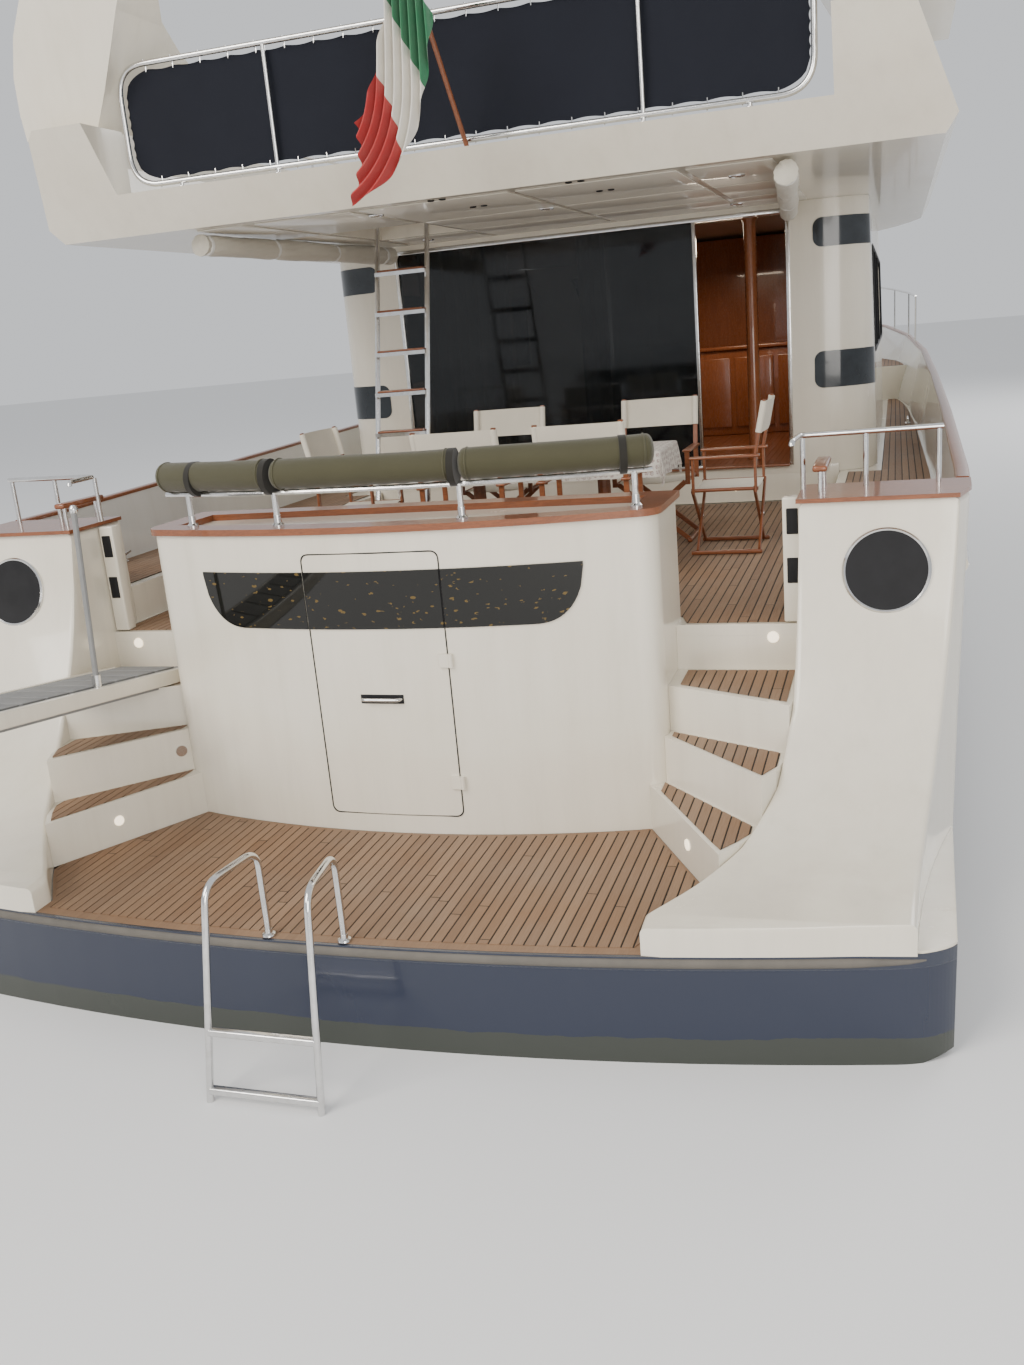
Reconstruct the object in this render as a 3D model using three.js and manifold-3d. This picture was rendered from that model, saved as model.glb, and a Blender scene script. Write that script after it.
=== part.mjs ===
// A 22 m flybridge motor yacht, afloat, with its boarding ladder, passerelle and cockpit furniture set out.
// Millimetres. X to starboard, Y forward, Z up. The origin is on the centreline, at the waterline,
// half way along the hull. Every named mesh is one closed piece of the real boat.

import * as THREE from "three";
import { mergeVertices } from "three/addons/utils/BufferGeometryUtils.js";
import Module from "manifold-3d";

const wasm = await Module();
wasm.setup();

// Driving dimensions
const HALF_LENGTH = 11000; // the platform's aft edge to the stem, halved
const PLATFORM_Z = 500; // top of the swim platform
const PLATE = 60; // thickness of decks and of the hull's and cabin's walls
const SOLE_Z = 1470; // cockpit sole
const SIDE_DECK_Z = 1700; // side decks beside the cabin
const FOREDECK_Z = 2150;
const CAP_Z = 2120; // top of the stern bulkhead and of the quarters, under the teak capping
const SILL_Z = 1770; // saloon floor
const FLY_UNDER_Z = 3830; // underside of the flybridge
const FLY_SOLE_Z = 4000;
const COAMING_Z = 4450; // top of the flybridge's sides
const SALOON_AFT_Y = -4850; // the cabin's aft wall
const COCKPIT_AFT_Y = -9150; // the cockpit sole's edge over the stairs
const QUARTER_FORE_Y = -8900; // where the quarters meet the bulwarks
const GAP = 0.3; // between pieces that rest on each other

// Materials: name, colour, roughness, metalness
const FINISHES = {
  gelcoat: ["#e9e2d0", 0.3, 0],
  topsides: ["#dfe3e6", 0.25, 0],
  teak: ["#8a5a34", 0.6, 0],
  varnish: ["#5a2f16", 0.25, 0],
  stainless: ["#c9ccd0", 0.2, 1],
  bronze: ["#b08a4a", 0.35, 1],
  glass: ["#10141a", 0.08, 0],
  canvas: ["#e8dfc8", 0.85, 0],
  olive: ["#4b4a2c", 0.7, 0],
  navy: ["#141a28", 0.8, 0],
  flag: ["#c8c8c0", 0.9, 0],
  cushion: ["#dcd5c3", 0.8, 0],
  engine: ["#8f9498", 0.6, 0.3],
  plastic: ["#f0f0ee", 0.4, 0],
};
const materials = Object.fromEntries(
  Object.entries(FINISHES).map(([name, [color, roughness, metalness]]) => [
    name,
    new THREE.MeshStandardMaterial({ name, color, roughness, metalness }),
  ]),
);

const yacht = new THREE.Group();
yacht.name = "motor_yacht";

// A closed three.js geometry becomes a solid that can be joined and cut.
function solid(geometry) {
  const bare = geometry.clone();
  for (const name of Object.keys(bare.attributes)) if (name !== "position") bare.deleteAttribute(name);
  const merged = mergeVertices(bare, 1e-3);
  const { array } = merged.attributes.position;
  const triVerts = new Uint32Array(merged.index.array);
  return new wasm.Manifold(new wasm.Mesh({ numProp: 3, vertProperties: new Float32Array(array), triVerts }));
}

// A solid becomes a named piece of the boat.
function piece(name, shape, finish) {
  const mesh = shape.getMesh();
  const geometry = new THREE.BufferGeometry();
  geometry.setAttribute("position", new THREE.BufferAttribute(new Float32Array(mesh.vertProperties), 3));
  geometry.setIndex(new THREE.BufferAttribute(new Uint32Array(mesh.triVerts), 1));
  geometry.computeVertexNormals();
  const made = new THREE.Mesh(geometry, materials[finish]);
  made.name = name;
  yacht.add(made);
  return shape;
}

const join = (...shapes) => shapes.flat().reduce((a, b) => a.add(b));
const cut = (shape, ...tools) => tools.flat().reduce((a, b) => a.subtract(b), shape);
const common = (...shapes) => shapes.reduce((a, b) => a.intersect(b));
const mirrored = (shape) => shape.mirror([1, 0, 0]);

// A box from its lowest and highest values on each axis.
function box([x0, x1], [y0, y1], [z0, z1]) {
  const block = new THREE.BoxGeometry(x1 - x0, y1 - y0, z1 - z0);
  return solid(block.translate((x0 + x1) / 2, (y0 + y1) / 2, (z0 + z1) / 2));
}

const shapeOf = (outline) => {
  if (outline instanceof THREE.Shape) return outline;
  return new THREE.Shape(outline.map(([a, b]) => new THREE.Vector2(a, b)));
};

const extruded = (shape, depth, curveSegments) =>
  new THREE.ExtrudeGeometry(shape, { depth, bevelEnabled: false, curveSegments });

// An outline in plan (x, y), lifted from z0 to z1.
function plan(outline, z0, z1, curveSegments = 8) {
  const flat = extruded(shapeOf(outline), z1 - z0, curveSegments);
  return solid(flat.translate(0, 0, z0));
}

// An outline seen from the side (y, z), carried across from x0 to x1.
function profile(outline, x0, x1, curveSegments = 8) {
  const flat = extruded(shapeOf(outline), x1 - x0, curveSegments);
  const turn = new THREE.Matrix4().makeBasis(
    new THREE.Vector3(0, 1, 0),
    new THREE.Vector3(0, 0, 1),
    new THREE.Vector3(1, 0, 0),
  );
  return solid(flat.applyMatrix4(turn).translate(x0, 0, 0));
}

// An outline seen from the stern (x, z), carried forward from y0 to y1.
function section(outline, y0, y1, curveSegments = 8) {
  const flat = extruded(shapeOf(outline), y1 - y0, curveSegments);
  const turn = new THREE.Matrix4().makeBasis(
    new THREE.Vector3(1, 0, 0),
    new THREE.Vector3(0, 0, 1),
    new THREE.Vector3(0, -1, 0),
  );
  return solid(flat.applyMatrix4(turn).translate(0, y1, 0));
}

// A round bar between two points, wider at one end if a second radius is given.
function bar(from, to, radius, sides = 8, radiusTo = radius) {
  const a = new THREE.Vector3(...from);
  const b = new THREE.Vector3(...to);
  const along = b.clone().sub(a);
  const rod = new THREE.CylinderGeometry(radiusTo, radius, along.length(), sides);
  const upright = new THREE.Vector3(0, 1, 0);
  const turn = new THREE.Quaternion().setFromUnitVectors(upright, along.clone().normalize());
  rod.applyQuaternion(turn).translate(...a.add(b).multiplyScalar(0.5).toArray());
  return solid(rod);
}

function ball(centre, radius, wide = 8, high = 6) {
  return solid(new THREE.SphereGeometry(radius, wide, high).translate(...centre));
}

// A skin over rings of points that all have the same number of points. A fan closes each end, unless the
// last ring joins the first.
function loft(rings, closed = false) {
  const count = rings[0].length;
  const positions = rings.flat(2);
  const index = [];
  for (let r = 0; r + (closed ? 0 : 1) < rings.length; r++)
    for (let i = 0; i < count; i++) {
      const [a, b] = [r * count + i, r * count + ((i + 1) % count)];
      const [c, d] = [a, b].map((v) => (v + count) % (rings.length * count));
      index.push(a, b, c, b, d, c);
    }
  const ends = closed ? [] : [[0, true], [(rings.length - 1) * count, false]];
  for (const [start, flip] of ends)
    for (let i = 1; i + 1 < count; i++)
      index.push(...(flip ? [start, start + i + 1, start + i] : [start, start + i, start + i + 1]));
  const geometry = new THREE.BufferGeometry();
  geometry.setAttribute("position", new THREE.BufferAttribute(new Float32Array(positions), 3));
  geometry.setIndex(index);
  const made = solid(geometry);
  return made.volume() > 0 ? made : solid(geometry.setIndex(index.reverse())); // rings may run either way
}

// A round tube along a chain of points in one plane. "across" is the direction square to that plane.
function sweep(points, radius, across, { sides = 8, closed = false } = {}) {
  const side = new THREE.Vector3(...across);
  const at = (i) => new THREE.Vector3(...points[closed ? (i + points.length) % points.length : i]);
  const rings = points.map((_, i) => {
    const from = at(closed ? i - 1 : Math.max(i - 1, 0));
    const to = at(closed ? i + 1 : Math.min(i + 1, points.length - 1));
    const out = to.sub(from).cross(side).normalize();
    return Array.from({ length: sides }, (_, k) => {
      const turn = (k / sides) * 2 * Math.PI;
      const rim = out.clone().multiplyScalar(Math.cos(turn) * radius);
      return rim.addScaledVector(side, Math.sin(turn) * radius).add(at(i)).toArray();
    });
  });
  return loft(rings, closed);
}
const UP = [0, 0, 1];
const AHEAD = [0, 1, 0];
const SIDEWAYS = [1, 0, 0];

const steps = (from, to, count) =>
  Array.from({ length: count + 1 }, (_, i) => from + ((to - from) * i) / count);

// The hull's sections, from the stern to the stem. Columns: y, keel z, chine x, chine z, sheer x, sheer z.
const HULL_SECTIONS = [
  [-11300, -620, 2720, 30, 2760, 2120],
  [-8500, -760, 2780, 55, 2860, 2120],
  [-5500, -860, 2720, 70, 2890, 2180],
  [-2000, -930, 2600, 90, 2900, 2260],
  [1500, -940, 2440, 175, 2870, 2370],
  [4500, -880, 2130, 330, 2700, 2500],
  [6600, -740, 1680, 540, 2370, 2620],
  [8400, -480, 1090, 800, 1830, 2730],
  [9700, -60, 560, 1090, 1160, 2810],
  [10500, 700, 220, 1450, 580, 2860],
  [HALF_LENGTH, 1900, 40, 2150, 90, 2900],
];

// The hull's outer form, or with an inset the form of the space inside it, open to any height above
// the sheer.
function hullForm(inset, above) {
  const rings = HULL_SECTIONS.map(([y, keelZ, chineX, chineZ, sheerX, sheerZ], i) => {
    const last = i === HULL_SECTIONS.length - 1;
    const at = y + (last ? -3 * inset : i === 0 ? inset : 0);
    const narrow = (x) => Math.max(x - inset, 8);
    const flare = narrow(chineX + (sheerX - chineX) * 0.42);
    const midZ = chineZ + (sheerZ - chineZ) * 0.5;
    const half = [
      [-1, keelZ + 1.2 * inset],
      [narrow(chineX), chineZ + inset],
      [flare, midZ],
      [narrow(sheerX), sheerZ],
      [narrow(sheerX), sheerZ + Math.max(above, 0.1)],
      [-1, sheerZ + Math.max(above, 0.1)],
    ];
    return half.map(([x, z]) => [x, at, z]);
  });
  const starboard = loft(rings);
  return join(starboard, mirrored(starboard));
}

// The stern's outline in plan: a shallow bow across, a round corner each side, then straight forward.
const STERN = { centreY: -HALF_LENGTH, shoulderX: 2500, shoulderY: -10760, cornerX: 2800, cornerY: -10450 };
function sternOutline(inset = 0) {
  const { centreY, shoulderX, shoulderY, cornerX, cornerY } = STERN;
  // The bow's own slope at the shoulder, carried on to the corner's side, so that the two curves join smoothly.
  const slope = (2 * (shoulderY - centreY)) / shoulderX;
  const bendY = shoulderY + (cornerX - shoulderX) * slope + inset;
  const outline = new THREE.Shape();
  outline.moveTo(3200 - inset, cornerY);
  outline.lineTo(3200 - inset, HALF_LENGTH + 500);
  outline.lineTo(inset - 3200, HALF_LENGTH + 500);
  outline.lineTo(inset - 3200, cornerY);
  outline.lineTo(inset - cornerX, cornerY);
  outline.quadraticCurveTo(inset - cornerX, bendY, -shoulderX, shoulderY + inset);
  outline.quadraticCurveTo(0, 2 * centreY - shoulderY + inset, shoulderX, shoulderY + inset);
  outline.quadraticCurveTo(cornerX - inset, bendY, cornerX - inset, cornerY);
  return outline;
}

const FAR = 20000; // past every side of the boat
const outerHull = common(hullForm(0, 0), plan(sternOutline(), -FAR, FAR, 24));
const innerHull = common(hullForm(PLATE, 900), plan(sternOutline(PLATE), -FAR, FAR, 12));
const looseHull = common(hullForm(PLATE + GAP, 900), plan(sternOutline(PLATE + GAP), -FAR, FAR, 12));
const insideHull = (shape) => common(shape, looseHull);

// The plan curve where the stairs meet the quarter, from the platform's corner to the cockpit.
const STAIR_WALL = [
  [1500, -10780], [1680, -10540], [1840, -10300], [1980, -10000], [2040, -9700], [2060, -9380],
];
const behindStairWall = (grow) => [
  ...STAIR_WALL.map(([x, y]) => [x + grow, y]),
  [2060 + grow, QUARTER_FORE_Y - 0.5],
  [3200, QUARTER_FORE_Y - 0.5],
  [3200, -11200],
  [1500 + grow, -11200],
];

// The quarter's top edge seen from the side: low at the platform, sweeping up to the capping.
const QUARTER_TOP = [
  [-11200, 620], [-10750, 640], [-10500, 680], [-10250, 760], [-10000, 920], [-9800, 1120],
  [-9620, 1400], [-9480, 1750], [-9390, CAP_Z], [QUARTER_FORE_Y, CAP_Z],
];

// The quarter's outer side in plan. It stands in from the platform's rim at the stern and meets the hull's
// side further forward.
const QUARTER_SIDE = { aftX: 2585, aftY: -10900, widen: 260, over: 1740 };
function quarterPlan() {
  const { aftX, aftY, widen, over } = QUARTER_SIDE;
  const side = steps(aftY, QUARTER_FORE_Y, 14).map((y) => [aftX + widen * ((y - aftY) / over) ** 2, y]);
  return [[0, -11200], [aftX, -11200], ...side, [0, QUARTER_FORE_Y]];
}

function hullAndStern() {
  const wellAft = box([-FAR, FAR], [-12000, QUARTER_FORE_Y], [PLATFORM_Z - PLATE, FAR]);
  const bearerZ = [ENGINE.bearerZ, ENGINE.z[0] - GAP];
  const bearerX = [ENGINE.x[0] + PLATE, ENGINE.x[1] - 2 * PLATE];
  const bearers = bearerX.map((x) => box([x, x + PLATE], ENGINE.y, bearerZ));
  const boss = bar([RUDDER.x, RUDDER.y, RUDDER.boss], [RUDDER.x, RUDDER.y, RUDDER.boss + 200], 80, 16);
  const inside = common(join(...bearers), outerHull);
  const shell = cut(outerHull, innerHull, wellAft);
  piece("hull", join(shell, inside, mirrored(inside), boss, mirrored(boss)), "topsides");

  const plateZ = [PLATFORM_Z - PLATE + GAP, PLATFORM_Z];
  piece("swim_platform", common(outerHull, box([-FAR, FAR], [-12000, QUARTER_FORE_Y - 0.5], plateZ)), "teak");

  const foot = PLATFORM_Z + GAP;
  const sideView = profile([...QUARTER_TOP, [QUARTER_FORE_Y, foot], [QUARTER_TOP[0][0], foot]], 1000, 3200);
  const sides = plan(quarterPlan(), PLATFORM_Z, CAP_Z);
  const quarter = common(outerHull, plan(behindStairWall(0), PLATFORM_Z, CAP_Z), sides, sideView);
  piece("quarter_starboard", quarter, "gelcoat");
  piece("quarter_port", mirrored(quarter), "gelcoat");
}

// The stern bulkhead's aft face in plan is one shallow curve between two round corners.
const BULKHEAD = { halfWidth: 1400, cornerX: 1290, cornerY: -9605, bulge: 350, foreY: -9000 };
const bulkheadFaceY = (x) => {
  const t = (x + BULKHEAD.cornerX) / (2 * BULKHEAD.cornerX);
  return BULKHEAD.cornerY - 2 * t * (1 - t) * BULKHEAD.bulge;
};
function bulkheadOutline(grow) {
  const { halfWidth, cornerX, cornerY, bulge, foreY } = BULKHEAD;
  const wide = halfWidth + grow;
  const outline = new THREE.Shape();
  outline.moveTo(-wide, foreY + grow);
  outline.lineTo(-wide, cornerY + 125);
  outline.quadraticCurveTo(-wide, cornerY + 15 - grow, -cornerX, cornerY - grow);
  outline.quadraticCurveTo(0, cornerY - bulge - grow, cornerX, cornerY - grow);
  outline.quadraticCurveTo(wide, cornerY + 15 - grow, wide, cornerY + 125);
  outline.lineTo(wide, foreY + grow);
  return outline;
}

// The lazarette door: its opening, the leaf's play round it, and the knuckles it turns on.
const DOOR = { x: [-415, 345], z: [600, 2020], corner: 46, play: 6, thick: 50 };
const DOOR_HINGE = { x: 358, radius: 12, z: [760, 1420], high: 70, strap: 50 };

// The door's outline drawn in by its play, as a block that reaches through the bulkhead.
function doorBlock(play) {
  const [low, high] = [DOOR.x[0] + play, DOOR.x[1] - play];
  const [foot, head] = [DOOR.z[0] + play, DOOR.z[1] - play];
  const radius = DOOR.corner - play;
  const outline = new THREE.Shape();
  outline.absarc(high - radius, foot + radius, radius, -Math.PI / 2, 0);
  outline.absarc(high - radius, head - radius, radius, 0, Math.PI / 2);
  outline.absarc(low + radius, head - radius, radius, Math.PI / 2, Math.PI);
  outline.absarc(low + radius, foot + radius, radius, Math.PI, Math.PI * 1.5);
  return section(outline, -10000, -9400, 6);
}

function transom() {
  const block = (grow, top) => plan(bulkheadOutline(grow), PLATFORM_Z + GAP, top, 14);
  const space = block(-PLATE, CAP_Z - PLATE).translate([0, 0, -5]);
  piece("transom_bulkhead", cut(block(0, CAP_Z), space, doorBlock(0)), "gelcoat");

  const skin = cut(block(0, CAP_Z), block(-DOOR.thick, CAP_Z));
  const leaf = common(skin, doorBlock(DOOR.play));
  const { x, radius, high, strap } = DOOR_HINGE;
  const hingeY = bulkheadFaceY(x) - radius - GAP;
  const strapX = DOOR.x[1] - strap;
  const knuckles = DOOR_HINGE.z.map((z) => {
    const pin = bar([x, hingeY, z], [x, hingeY, z + high], radius, 16);
    const arm = box([strapX, x], [hingeY - 4, hingeY + 8], [z, z + high]);
    const pad = box([strapX, DOOR.x[1] - 2 * DOOR.play], [hingeY, hingeY + 30], [z, z + high]);
    return join(pin, arm, pad);
  });
  piece("transom_door", join(leaf, ...knuckles), "gelcoat");

  const capping = cut(
    plan(bulkheadOutline(22), CAP_Z + GAP, CAP_Z + 35, 14),
    plan(bulkheadOutline(-130), CAP_Z - 5, CAP_Z + 50, 14),
  );
  piece("stern_capping", capping, "varnish");
}

// The padded roll on the stern rail, in three lengths. Columns: name, start x, end x.
const BOLSTER = { radius: 80, railZ: 2330, railRadius: 14, inset: 75 };
const BOLSTERS = [
  ["bolster_port", -1300, -562],
  ["bolster_centre", -548, 453],
  ["bolster_starboard", 467, 1395],
];
const STANCHION_X = [-1130, -560, 460, 1300];
// The rail follows the bulkhead, and bends forward a little more past 900 mm from the centreline.
const railCurve = (x, z) => {
  const forward = 0.00004 * Math.max(0, Math.abs(x) - 900) ** 2;
  return [x, bulkheadFaceY(x) + BOLSTER.inset + forward, z];
};
function sternRail() {
  const { radius, railZ, railRadius } = BOLSTER;
  const rail = sweep(steps(-1290, 1385, 12).map((x) => railCurve(x, railZ)), railRadius, UP);
  const posts = STANCHION_X.map((x) => bar(railCurve(x, CAP_Z + 35 + GAP), railCurve(x, railZ), 16));
  piece("stern_rail", join(rail, ...posts), "stainless");
  for (const [name, from, to] of BOLSTERS) {
    const line = steps(from, to, 6).map((x) => railCurve(x, railZ + railRadius + GAP + radius));
    piece(name, sweep(line, radius, UP, { sides: 12 }), "olive");
  }
}

// Fan-shaped stairs from the platform to the cockpit. Columns: tread z, inner nosing x, y, outer nosing x, y.
const TREADS = [
  [745, 1290, -9575, 1845, -10560],
  [990, 1335, -9500, 2020, -10220],
  [1230, 1370, -9440, 2080, -9800],
  [SOLE_Z - PLATE - GAP, 1370, COCKPIT_AFT_Y, 2080, COCKPIT_AFT_Y],
];
function stairs() {
  const keepOff = [plan(bulkheadOutline(0.5), 0, 3000, 14), plan(behindStairWall(-0.5), 0, 3000)];
  const foreY = BULKHEAD.foreY - 1;
  const treads = TREADS.map(([z, x0, y0, x1, y1]) =>
    plan([[x0, y0], [x1, y1], [2200, y1], [2200, foreY], [1200, foreY], [1200, y0]], PLATFORM_Z + GAP, z),
  );
  const flight = common(cut(join(...treads), keepOff), box([1250, 2300], [-11000, -8990], [0, 3000]));
  piece("stairs_starboard", flight, "gelcoat");
  piece("stairs_port", mirrored(flight), "gelcoat");
}

// The cabin on the side decks: sides that lean in, a raked front, a rounded plan.
const HOUSE = {
  halfWidth: 2350, topHalfWidth: 2290, frontY: 2900, screenFootZ: 2450, screenTopY: 1200,
  corner: [470, 420], frontFlat: 900,
};
function houseForm(inset) {
  const { halfWidth, topHalfWidth, frontY, screenFootZ, screenTopY, corner, frontFlat } = HOUSE;
  const wide = halfWidth - inset;
  const narrow = topHalfWidth - inset;
  const foot = inset ? SIDE_DECK_Z - 50 : SIDE_DECK_Z + GAP;
  const top = inset ? FLY_UNDER_Z + 50 : FLY_UNDER_Z - GAP;
  const aft = SALOON_AFT_Y + inset;
  const rake = (frontY - screenTopY) / (FLY_UNDER_Z - screenFootZ);
  const topY = screenTopY - 1.6 * inset - rake * (top - FLY_UNDER_Z);
  const side = profile(
    [[aft, foot], [frontY - inset, foot], [frontY - inset, screenFootZ - inset / 2], [topY, top], [aft, top]],
    -2400,
    2400,
  );
  const lean = (halfWidth - topHalfWidth) / (FLY_UNDER_Z - SIDE_DECK_Z);
  const footHalf = wide - lean * (foot - SIDE_DECK_Z);
  const topHalf = narrow - lean * (top - FLY_UNDER_Z);
  const end = section([[-footHalf, foot], [footHalf, foot], [topHalf, top], [-topHalf, top]], -5200, 3200);
  const fore = frontY - inset;
  const round = new THREE.Shape();
  round.moveTo(-wide, 400);
  round.lineTo(-wide, aft + corner[1] - inset);
  round.quadraticCurveTo(-wide, aft, -wide + corner[0], aft);
  round.lineTo(wide - corner[0], aft);
  round.quadraticCurveTo(wide, aft, wide, aft + corner[1] - inset);
  round.lineTo(wide, 400);
  round.quadraticCurveTo(wide, fore, frontFlat, fore);
  round.lineTo(-frontFlat, fore);
  round.quadraticCurveTo(-wide, fore, -wide, 400);
  return common(side, end, plan(round, 0, 5000, 10));
}

// Cabin windows: the opening's x, y and z ranges, and the name of its glass.
const SALOON_OPENING = [[-1695, 1690], [-5000, -4700], [SILL_Z, 3790]];
const WINDOWS = [
  ["side_glass_starboard", [2100, 2500], [-3900, 1150], [2620, 3480]],
  ["side_glass_port", [-2500, -2100], [-3900, 1150], [2620, 3480]],
  ["windscreen", [-1650, 1650], [1300, 2890], [2560, 3660]],
];
const shrink = ([low, high]) => [low + GAP, high - GAP];

function cabin() {
  const openings = [SALOON_OPENING, ...WINDOWS.map((w) => w.slice(1))].map((ranges) => box(...ranges));
  piece("saloon_house", cut(houseForm(0), houseForm(PLATE), openings), "gelcoat");
  for (const [name, ...ranges] of WINDOWS) {
    const pane = cut(common(houseForm(15), box(...ranges.map(shrink))), houseForm(45));
    piece(name, pane, "glass");
  }

  const frontY = HOUSE.frontY - PLATE - GAP - 40;
  const floorHalf = HOUSE.halfWidth - PLATE - 8;
  const floorY = [SALOON_AFT_Y + PLATE + GAP, frontY];
  const floor = box([-floorHalf, floorHalf], floorY, [SIDE_DECK_Z + GAP, SILL_Z]);
  piece("saloon_sole", common(floor, houseForm(PLATE + 1)), "teak");

  const [x0, x1] = SALOON_OPENING[0];
  const topZ = SALOON_OPENING[2][1];
  const fixedY = [SALOON_AFT_Y + 10, SALOON_AFT_Y + 40];
  piece("aft_glass", box([x0 + GAP, SALOON_DOOR.x[1]], fixedY, [SILL_Z + GAP, topZ - GAP]), "glass");
  const leafY = [SALOON_AFT_Y + PLATE + 10, SALOON_AFT_Y + PLATE + 40];
  const leaf = box(SALOON_DOOR.x, leafY, [SILL_Z + 8, topZ - 20]);
  const runners = SALOON_DOOR.runnerX.map((x) => box([x, x + 60], leafY, [SILL_Z + GAP, SILL_Z + 9]));
  piece("saloon_door", join(leaf, ...runners), "glass");
  if (x1 - x0 < SALOON_DOOR.travel) throw new Error("the doorway is narrower than the door's travel");
}
const SALOON_DOOR = { x: [170, 930], runnerX: [230, 800], travel: 750 };

// Side decks and foredeck, with the cockpit's side linings below them and the coachroof above.
const COACHROOF = {
  foot: 3150, front: 7300, halfFoot: 1450, halfFront: 760, topZ: 2470, lean: 90, rake: 260, sunk: 20,
};
// The cockpit sole's half width, and where it passes beside the stern bulkhead.
const SOLE = { halfWidth: 2059.7, besideBulkhead: 1400.6 };
function decks() {
  const { halfWidth, besideBulkhead } = SOLE;
  const bulkheadY = BULKHEAD.foreY + 0.6;
  const saloonY = SALOON_AFT_Y + 0.5 * PLATE;
  const sole = [
    [-halfWidth, COCKPIT_AFT_Y], [-besideBulkhead, COCKPIT_AFT_Y], [-besideBulkhead, bulkheadY],
    [besideBulkhead, bulkheadY], [besideBulkhead, COCKPIT_AFT_Y], [halfWidth, COCKPIT_AFT_Y],
    [halfWidth, saloonY], [-halfWidth, saloonY],
  ];
  piece("cockpit_sole", plan(sole, SOLE_Z - PLATE, SOLE_Z), "teak");

  const stepY = HOUSE.frontY + 1;
  const side = (x0, x1) => {
    const innerX = x0 > 0 ? [x0, x0 + PLATE] : [x1 - PLATE, x1];
    return join(
      box([x0, x1], [QUARTER_FORE_Y, stepY + 40], [SIDE_DECK_Z - PLATE, SIDE_DECK_Z]),
      box(innerX, [QUARTER_FORE_Y, SALOON_AFT_Y + 30], [1350, SIDE_DECK_Z]),
    );
  };
  const cross = box([-2200, 2200], [2000, stepY + PLATE], [SIDE_DECK_Z - PLATE, SIDE_DECK_Z]);
  const riser = box([-3000, 3000], [stepY, stepY + PLATE], [SIDE_DECK_Z - PLATE, FOREDECK_Z]);
  const fore = box([-3000, 3000], [stepY, HALF_LENGTH], [FOREDECK_Z - PLATE, FOREDECK_Z]);
  const { foot, front, halfFoot, halfFront, topZ, lean, rake, sunk } = COACHROOF;
  const layer = (aft, ahead, aftY, foreY, z) => [
    [aft, aftY, z], [ahead, foreY, z], [-ahead, foreY, z], [-aft, aftY, z],
  ];
  const roof = loft([
    layer(halfFoot, halfFront, foot, front, FOREDECK_Z - sunk),
    layer(halfFoot - lean, halfFront - lean, foot + sunk, front - rake, topZ),
  ]);
  const hatchWell = box(HATCH.x, HATCH.y, [FOREDECK_Z - 100, topZ + 50]);
  const plates = insideHull(join(side(2060, 3000), side(-3000, -2060), cross, riser, fore));
  piece("main_deck", cut(join(plates, roof), hatchWell), "gelcoat");
  const { overlap, thick, barrel } = HATCH;
  const hingeY = HATCH.y[1] + overlap;
  const lidX = [HATCH.x[0] - overlap, HATCH.x[1] + overlap];
  const lid = box(lidX, [HATCH.y[0] - overlap, hingeY - 1], [topZ + GAP, topZ + thick]);
  const pinZ = topZ + thick - barrel;
  const pin = bar([HATCH.x[0], hingeY, pinZ], [HATCH.x[1], hingeY, pinZ], barrel);
  piece("foredeck_hatch", join(lid, pin), "glass");
  piece("sunpad", box(SUNPAD.x, SUNPAD.y, [topZ + GAP, topZ + SUNPAD.thick]), "cushion");
}
const HATCH = { x: [-300, 300], y: [6050, 6650], overlap: 30, thick: 40, barrel: 9 };
const SUNPAD = { x: [-950, 950], y: [3350, 5550], thick: 110 };

// The flybridge seen from the stern: a tray with broad sides, widest just above its lower corner.
const FLY_SIDE = [[2750, FLY_UNDER_Z], [2810, 3920], [2600, 4400], [2540, COAMING_Z], [2260, COAMING_Z]];
const FLY = { aftY: -8000, rake: 0.7, foreY: 2350, curbZ: 4065, wellForeY: 1500 };
const FLY_SCREEN = { setBack: 480, thick: 35, halfWidth: 2300, topZ: 4850 };
const flyAftY = (z) => FLY.aftY - FLY.rake * (z - FLY_UNDER_Z);
const LADDER_WELL = { x: [-1460, -740], y: [-6650, -5650] };

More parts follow.
